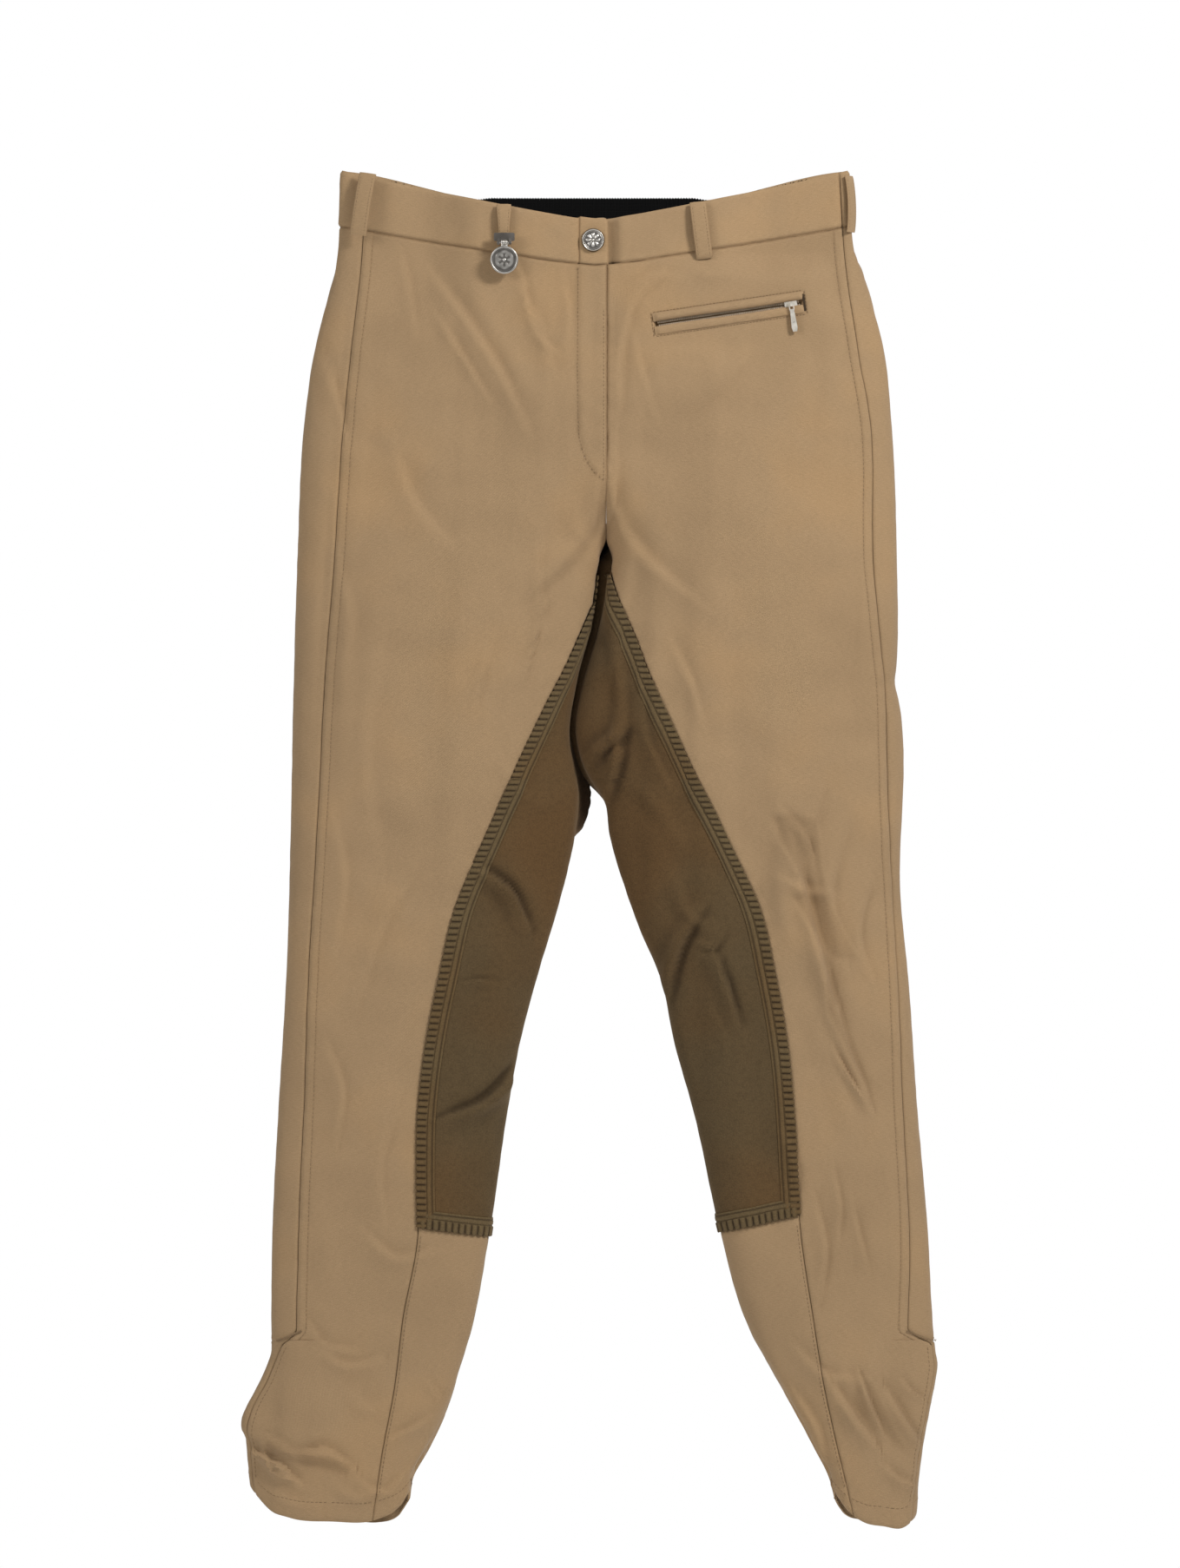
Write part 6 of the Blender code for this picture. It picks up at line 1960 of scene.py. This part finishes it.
def zip_side(kind, which, frame, sign, length, width, pitch, look):
    """The tape and teeth of one side of a zip."""
    places = np.array([0.9, 1.3, 2.0, 3.2, 4.6, 6.4, width - 0.6, width]) * sign
    along, across = np.meshgrid(np.linspace(0, length, 60), places, indexing="ij")
    top = 0.35 + 0.05 * np.sin(along * 2.1)
    top[:, 0] -= 0.2
    tape = plate("%s_tape_%s" % (kind, which), frame, along, across, top,
                 np.full_like(top, -0.35), "tape")
    ride(tape, "hips", "%s_zip_tape_%s" % (kind, which))
    near, far = sorted((0.46 * sign, 2.3 * sign))
    first = 0.8 + (0.0 if sign > 0 else pitch / 2)
    teeth = [block(frame, (at - 0.42, near, -1.0), (at + 0.42, far, 1.0), 0.16)
             for at in np.arange(first, length - 0.8, pitch)]
    ride(join("%s_teeth_%s" % (kind, which), teeth, look), "hips")


# (height down the pocket, depth) round the folded bag
BAG_FOLD = [(9.0, -10.0), (-20.0, -10.2), (-60.0, -10.4), (-90.0, -10.2), (-95.0, -9.4),
            (-96.0, -8.2), (-95.0, -7.0), (-90.0, -6.2), (-60.0, -6.0), (-30.0, -6.2),
            (-8.0, -6.4)]


def pocket_bag():
    fold = resample(np.array(BAG_FOLD), 70)
    along, across = np.meshgrid(np.linspace(3, POCKET_LEN - 3, 44), fold[:, 0], indexing="ij")
    points = POCKET.at(along, across, fold[:, 1] + 0.25 * undulate(along, across, 30, 5))
    bag = shell("pocket_bag_lining", points, "lining", np.stack([along, across], -1),
                grid_normals(points), thickness=0.7)
    ride(bag, "hips", "pocket_bag")


pocket_lip("pocket_lip_upper", 2.0, 8.4, 2.3, "pocket_welt")
pocket_lip("pocket_lip_lower", -1.7, -8.2, 1.3)
pocket_stitching()
pocket_zip = Flat(POCKET.at(1.0, 0, -2.3), POCKET.along, POCKET.out)
for sign, which in ((1, "upper"), (-1, "lower")):
    zip_side("pocket", which, pocket_zip, sign, length=POCKET_LEN - 2, width=9.0, pitch=1.3,
             look="chain")
pocket_bag()

# ---------------------------------------------------------------------- the fly
FLY = Flat((2.0, -14.26, 900.0), (0, -0.06446, -0.99792), (0, -0.99792, 0.06446))
for sign, which in ((-1, "right"), (1, "left")):
    zip_side("fly", which, FLY, sign, length=136.3, width=10.0, pitch=1.6, look="metal")


def front_y(x, z):
    """y of the smooth front at (x, z)."""
    level = z
    for _ in range(12):
        found = at_x(front_line(level), x)[0]
        level += z - found[2]
    return found[1]


def fly_guard():
    """The strip of twill behind the fly's zip, with a row of stitches."""
    high, low = 904, 758
    heights = np.linspace(high, low, 70)
    stations = np.linspace(high, low, 12)
    depths = np.interp(-heights, -stations, [front_y(2.0, z) + 17.0 for z in stations])
    x, z = np.meshgrid(np.linspace(-12, 17, 18), heights)
    edge = np.minimum(x + 12, 17 - x)
    y = depths[:, None] + 0.35 * (1 - smooth(0, 1.6, edge)) - 0.12 * undulate(x, z, 24, 6)
    forward = np.array([0, -1.0, 0])
    # painted shade along its rolled edges
    guard = shell("fly_guard", np.stack([x, y, z], -1), "twill", np.stack([x, z], -1), forward,
                  0.6 * (1 - smooth(0, 1.0, edge)), FABRIC)
    ride(guard, "hips", "fly_underlap")
    down = np.linspace(902, 760, 60)
    line = np.column_stack([np.full(60, -9.6), np.interp(-down, -heights, depths) - 0.1, down])
    ride(stitches("fly_guard_thread", [(line, np.tile(forward, (60, 1)))], radius=0.25), "hips")


fly_guard()


# ------------------------------------------------------------- ankle closure
def under_piece(name, side, high, low, inset, margin, look, thickness, replaced, body, rough):
    """A strip lying behind the ankle flap, inset from the cloth."""
    columns_at = np.linspace(0, 1, 15)
    rows, uvs = [], []
    for level in np.linspace(high, low, 40):
        cut = section(side, level)
        sigma = np.linspace(-(cut.seam + margin), -(cut.fold - margin), 15)
        rows.append(shift(surface_row(side, level, sigma), inset))
        uvs.append(np.column_stack([sigma, np.full(15, level)]))
    points = np.array(rows)
    outward = np.array([0, -1.0, 0])
    normals = facing(points, outward)
    share = columns_at[None, :] * np.ones((len(rows), 1))
    name = name + side
    rng = np.random.default_rng(len(name))
    height = (relief(points) + rough * rng.uniform(-1, 1, share.shape)
              - 0.3 * (1 - smooth(0, 0.08, np.minimum(share, 1 - share))))
    made = shell(name, points + normals * height[..., None], look, np.array(uvs), outward,
                 thickness=thickness)
    ride(made, body + side, replaced + side)


for side in SIDES:
    under_piece("hook_tape_", side, high=112, low=48, inset=1.9, margin=8.0, look="hook",
                thickness=0.8, replaced="hook_strip_", body="ankle_flap_", rough=0.12)
    under_piece("loop_tape_", side, high=112, low=48, inset=3.2, margin=8.0, look="hook",
                thickness=0.8, replaced="loop_strip_", body="shin_", rough=0.1)
    under_piece("underlap_", side, high=128, low=24, inset=4.5, margin=4.0, look="twill",
                thickness=FABRIC, replaced="ankle_underlap_", body="shin_", rough=0.0)

# ------------------------------------------------------------ button and charm
BUTTON = Flat((2.5, -21.8, 931.5), (1, 0, 0), (0, -1, 0))
BUTTON_RADIUS = 8.3
PIN = np.array([-61.7, -31.46, 929.4])  # the charm hangs from here
DISC = Flat(PIN + np.array([0, 0, -12.6]), (1, 0, 0), (0, -1, 0))
DISC_RADIUS = 10.15


def swell(radius, start, width):
    """A round rise from start over width, 0 elsewhere."""
    return np.clip(np.sin(math.pi * np.clip((radius - start) / width, 0, 1)), 0, 1)


def ripple(angle, count):
    return 0.5 + 0.5 * np.cos(count * angle)


def dome(radius, reach):
    return np.clip(1 - (radius / reach) ** 2, 0, 1) ** 0.5


def button_top(radius, angle):
    rim = 0.75 * bell(radius - 7.5, 0.5) + 0.35 * bell(radius - 6.3, 0.22)
    petals = 0.55 * ripple(angle, 8) * swell(radius, 1.3, 4.2)
    beads = 0.22 * ripple(angle, 36) * bell(radius - 6.9, 0.35)
    return (4.0 - 0.35 * (radius / BUTTON_RADIUS) ** 2 + rim + petals + 0.7 * dome(radius, 1.25)
            + beads - 0.7 * smooth(7.8, BUTTON_RADIUS, radius))


def disc_top(radius, angle):
    rim = 0.55 * smooth(8.6, 9.0, radius) * (1 - 0.8 * smooth(9.7, DISC_RADIUS, radius))
    rope = 0.18 * (0.5 + 0.5 * np.cos(44 * angle + 3.0 * radius)) * bell(radius - 8.15, 0.35)
    inner = 0.35 * ripple(angle, 6) * swell(radius, 1.4, 5.6)
    between = 0.3 * (0.5 + 0.5 * np.cos(6 * angle + math.pi)) * swell(radius, 4.2, 3.0)
    return 0.45 + rim + rope + inner + between + 0.5 * dome(radius, 1.3)


def waist_button():
    radii = np.concatenate([np.linspace(0.25, 6.0, 24), np.linspace(6.1, BUTTON_RADIUS, 14)])
    under = [(BUTTON_RADIUS, 3.4), (8.0, 2.9), (6.4, 2.6), (3.4, 2.4), (3.4, 0.9), (2.2, 0.8)]
    cap = join("button_cap", [coin(BUTTON, radii, button_top, under, 3.9)], "silver", 50)
    ride(cap, "waist_button", "waist_button")


def charm():
    """A round medal, the tab at its top, and five rings round the pin."""
    radii = np.concatenate([np.linspace(0.25, 8.4, 32), np.linspace(8.55, DISC_RADIUS, 10)])
    under = [(DISC_RADIUS, -0.2), (9.8, -0.75), (9.2, -0.9), (4.0, -0.9)]
    angle = np.linspace(0, 2 * math.pi, 28, endpoint=False)
    eye = np.column_stack([0 * angle, 1.45 * np.cos(angle), 1.45 * np.sin(angle)]) + PIN
    pieces = [coin(DISC, radii, disc_top, under, 0.45),
              block(DISC, (-2.4, 9.2, -0.6), (2.4, 11.6, 0.6), 0.2)]
    pieces += [closed_tube(eye + np.array([x, 0, 0]), 0.5, 10)
               for x in (-1.9, -0.95, 0.0, 0.95, 1.9)]
    ride(join("charm_disc", pieces, "silver", 50), "medallion", "charm_medallion")


waist_button()
charm()

# the CAD's own hard pieces keep their shape and get their metal
for name, look in (("fly_zip_slider", "metal"), ("fly_zip_pull", "metal"),
                   ("pocket_zip_slider", "metal"), ("pocket_zip_pull", "metal"),
                   ("button_tack", "silver"), ("charm_bracket", "iron"), ("charm_pin", "silver")):
    materials = bpy.data.objects[name].data.materials
    materials.clear()
    materials.append(LOOKS[look][0])


# --------------------------------------------------------- stage, light, camera
def output_of(tree, kind):
    return [made for made in tree.nodes if made.type == kind][0].inputs["Surface"]


def floor_material():
    """Seen directly it is an even white sweep; on the cloth it throws only its pale paint."""
    look = Look("pale_floor")
    look.set(Base_Color=grey(0.93), Roughness=0.9)
    tree = look.tree
    seen = look.node("ShaderNodeLightPath").outputs["Is Camera Ray"]
    glow = look.node("ShaderNodeEmission", Color=(1, 1, 1, 1), Strength=1.0)
    blend = look.node("ShaderNodeMixShader")
    tree.links.new(look.times(seen, 1.0), blend.inputs[0])
    tree.links.new(look.shader.outputs[0], blend.inputs[1])
    tree.links.new(glow.outputs[0], blend.inputs[2])
    tree.links.new(blend.outputs[0], output_of(tree, "OUTPUT_MATERIAL"))
    return look.material


def make_floor():
    """A round floor, in metres, just below z = 0."""
    around, radii, z = 96, (1.0, 3.0, 7.0, 16.0), -0.35
    turns = np.linspace(0, 2 * math.pi, around, endpoint=False)
    points = [(0.0, 0.0, z)]
    points += [(r * math.cos(turn), r * math.sin(turn), z) for r in radii for turn in turns]
    faces = [(0, 1 + k, 1 + (k + 1) % around) for k in range(around)]
    for i in range(len(radii) - 1):
        here, there = 1 + around * i, 1 + around * (i + 1)
        faces += [(here + k, there + k, there + (k + 1) % around, here + (k + 1) % around)
                  for k in range(around)]
    mesh = bpy.data.meshes.new("floor")
    mesh.from_pydata(points, [], faces)
    obj = bpy.data.objects.new("floor", mesh)
    SCENE.collection.objects.link(obj)
    mesh.materials.append(floor_material())


def make_world():
    """A soft cool light all round that the camera sees as plain white."""
    world = bpy.data.worlds.new("studio")
    world.use_nodes = True
    tree = world.node_tree
    light = tree.nodes["Background"]
    light.inputs["Color"].default_value = (0.97, 0.98, 1, 1)
    light.inputs["Strength"].default_value = 0.30
    ray = tree.nodes.new("ShaderNodeLightPath")
    white = tree.nodes.new("ShaderNodeBackground")
    blend = tree.nodes.new("ShaderNodeMixShader")
    white.inputs["Color"].default_value = (1, 1, 1, 1)
    white.inputs["Strength"].default_value = 1.0
    tree.links.new(ray.outputs["Is Camera Ray"], blend.inputs[0])
    tree.links.new(light.outputs[0], blend.inputs[1])
    tree.links.new(white.outputs[0], blend.inputs[2])
    tree.links.new(blend.outputs[0], output_of(tree, "OUTPUT_WORLD"))
    SCENE.world = world


def area(name, at, target, size, power):
    """A rectangular light: places and size in metres, power in watts."""
    data = bpy.data.lights.new(name, "AREA")
    data.shape = "RECTANGLE"
    data.size, data.size_y = size
    data.energy = power
    obj = bpy.data.objects.new(name, data)
    obj.location = at
    obj.rotation_euler = (Vector(target) - Vector(at)).to_track_quat("-Z", "Y").to_euler()
    obj.visible_camera = False
    SCENE.collection.objects.link(obj)


def make_camera():
    """Looks straight at the front, from far enough for little perspective."""
    distance = 7.8
    view_height = 1.13778  # metres in view at y = 0
    sensor = 24.0
    data = bpy.data.cameras.new("camera")
    camera = bpy.data.objects.new("camera", data)
    SCENE.collection.objects.link(camera)
    camera.location = (0.0003, -distance, 0.538)
    camera.rotation_euler = (math.pi / 2, 0, 0)
    data.sensor_fit = "VERTICAL"
    data.sensor_height = sensor
    data.lens = sensor * distance / view_height
    SCENE.camera = camera


make_floor()
make_world()
area("key", at=(1.5, -1.5, 2.1), target=(0, 0, 0.62), size=(0.5, 0.5), power=47)
area("fill", at=(-2.0, -1.8, 1.8), target=(-0.1, 0, 0.85), size=(1.1, 1.1), power=24)
area("rim", at=(0.6, 1.8, 2.2), target=(0, 0, 0.6), size=(1.6, 1.0), power=26)
SCENE.view_settings.view_transform = "Standard"
SCENE.view_settings.look = "None"
make_camera()
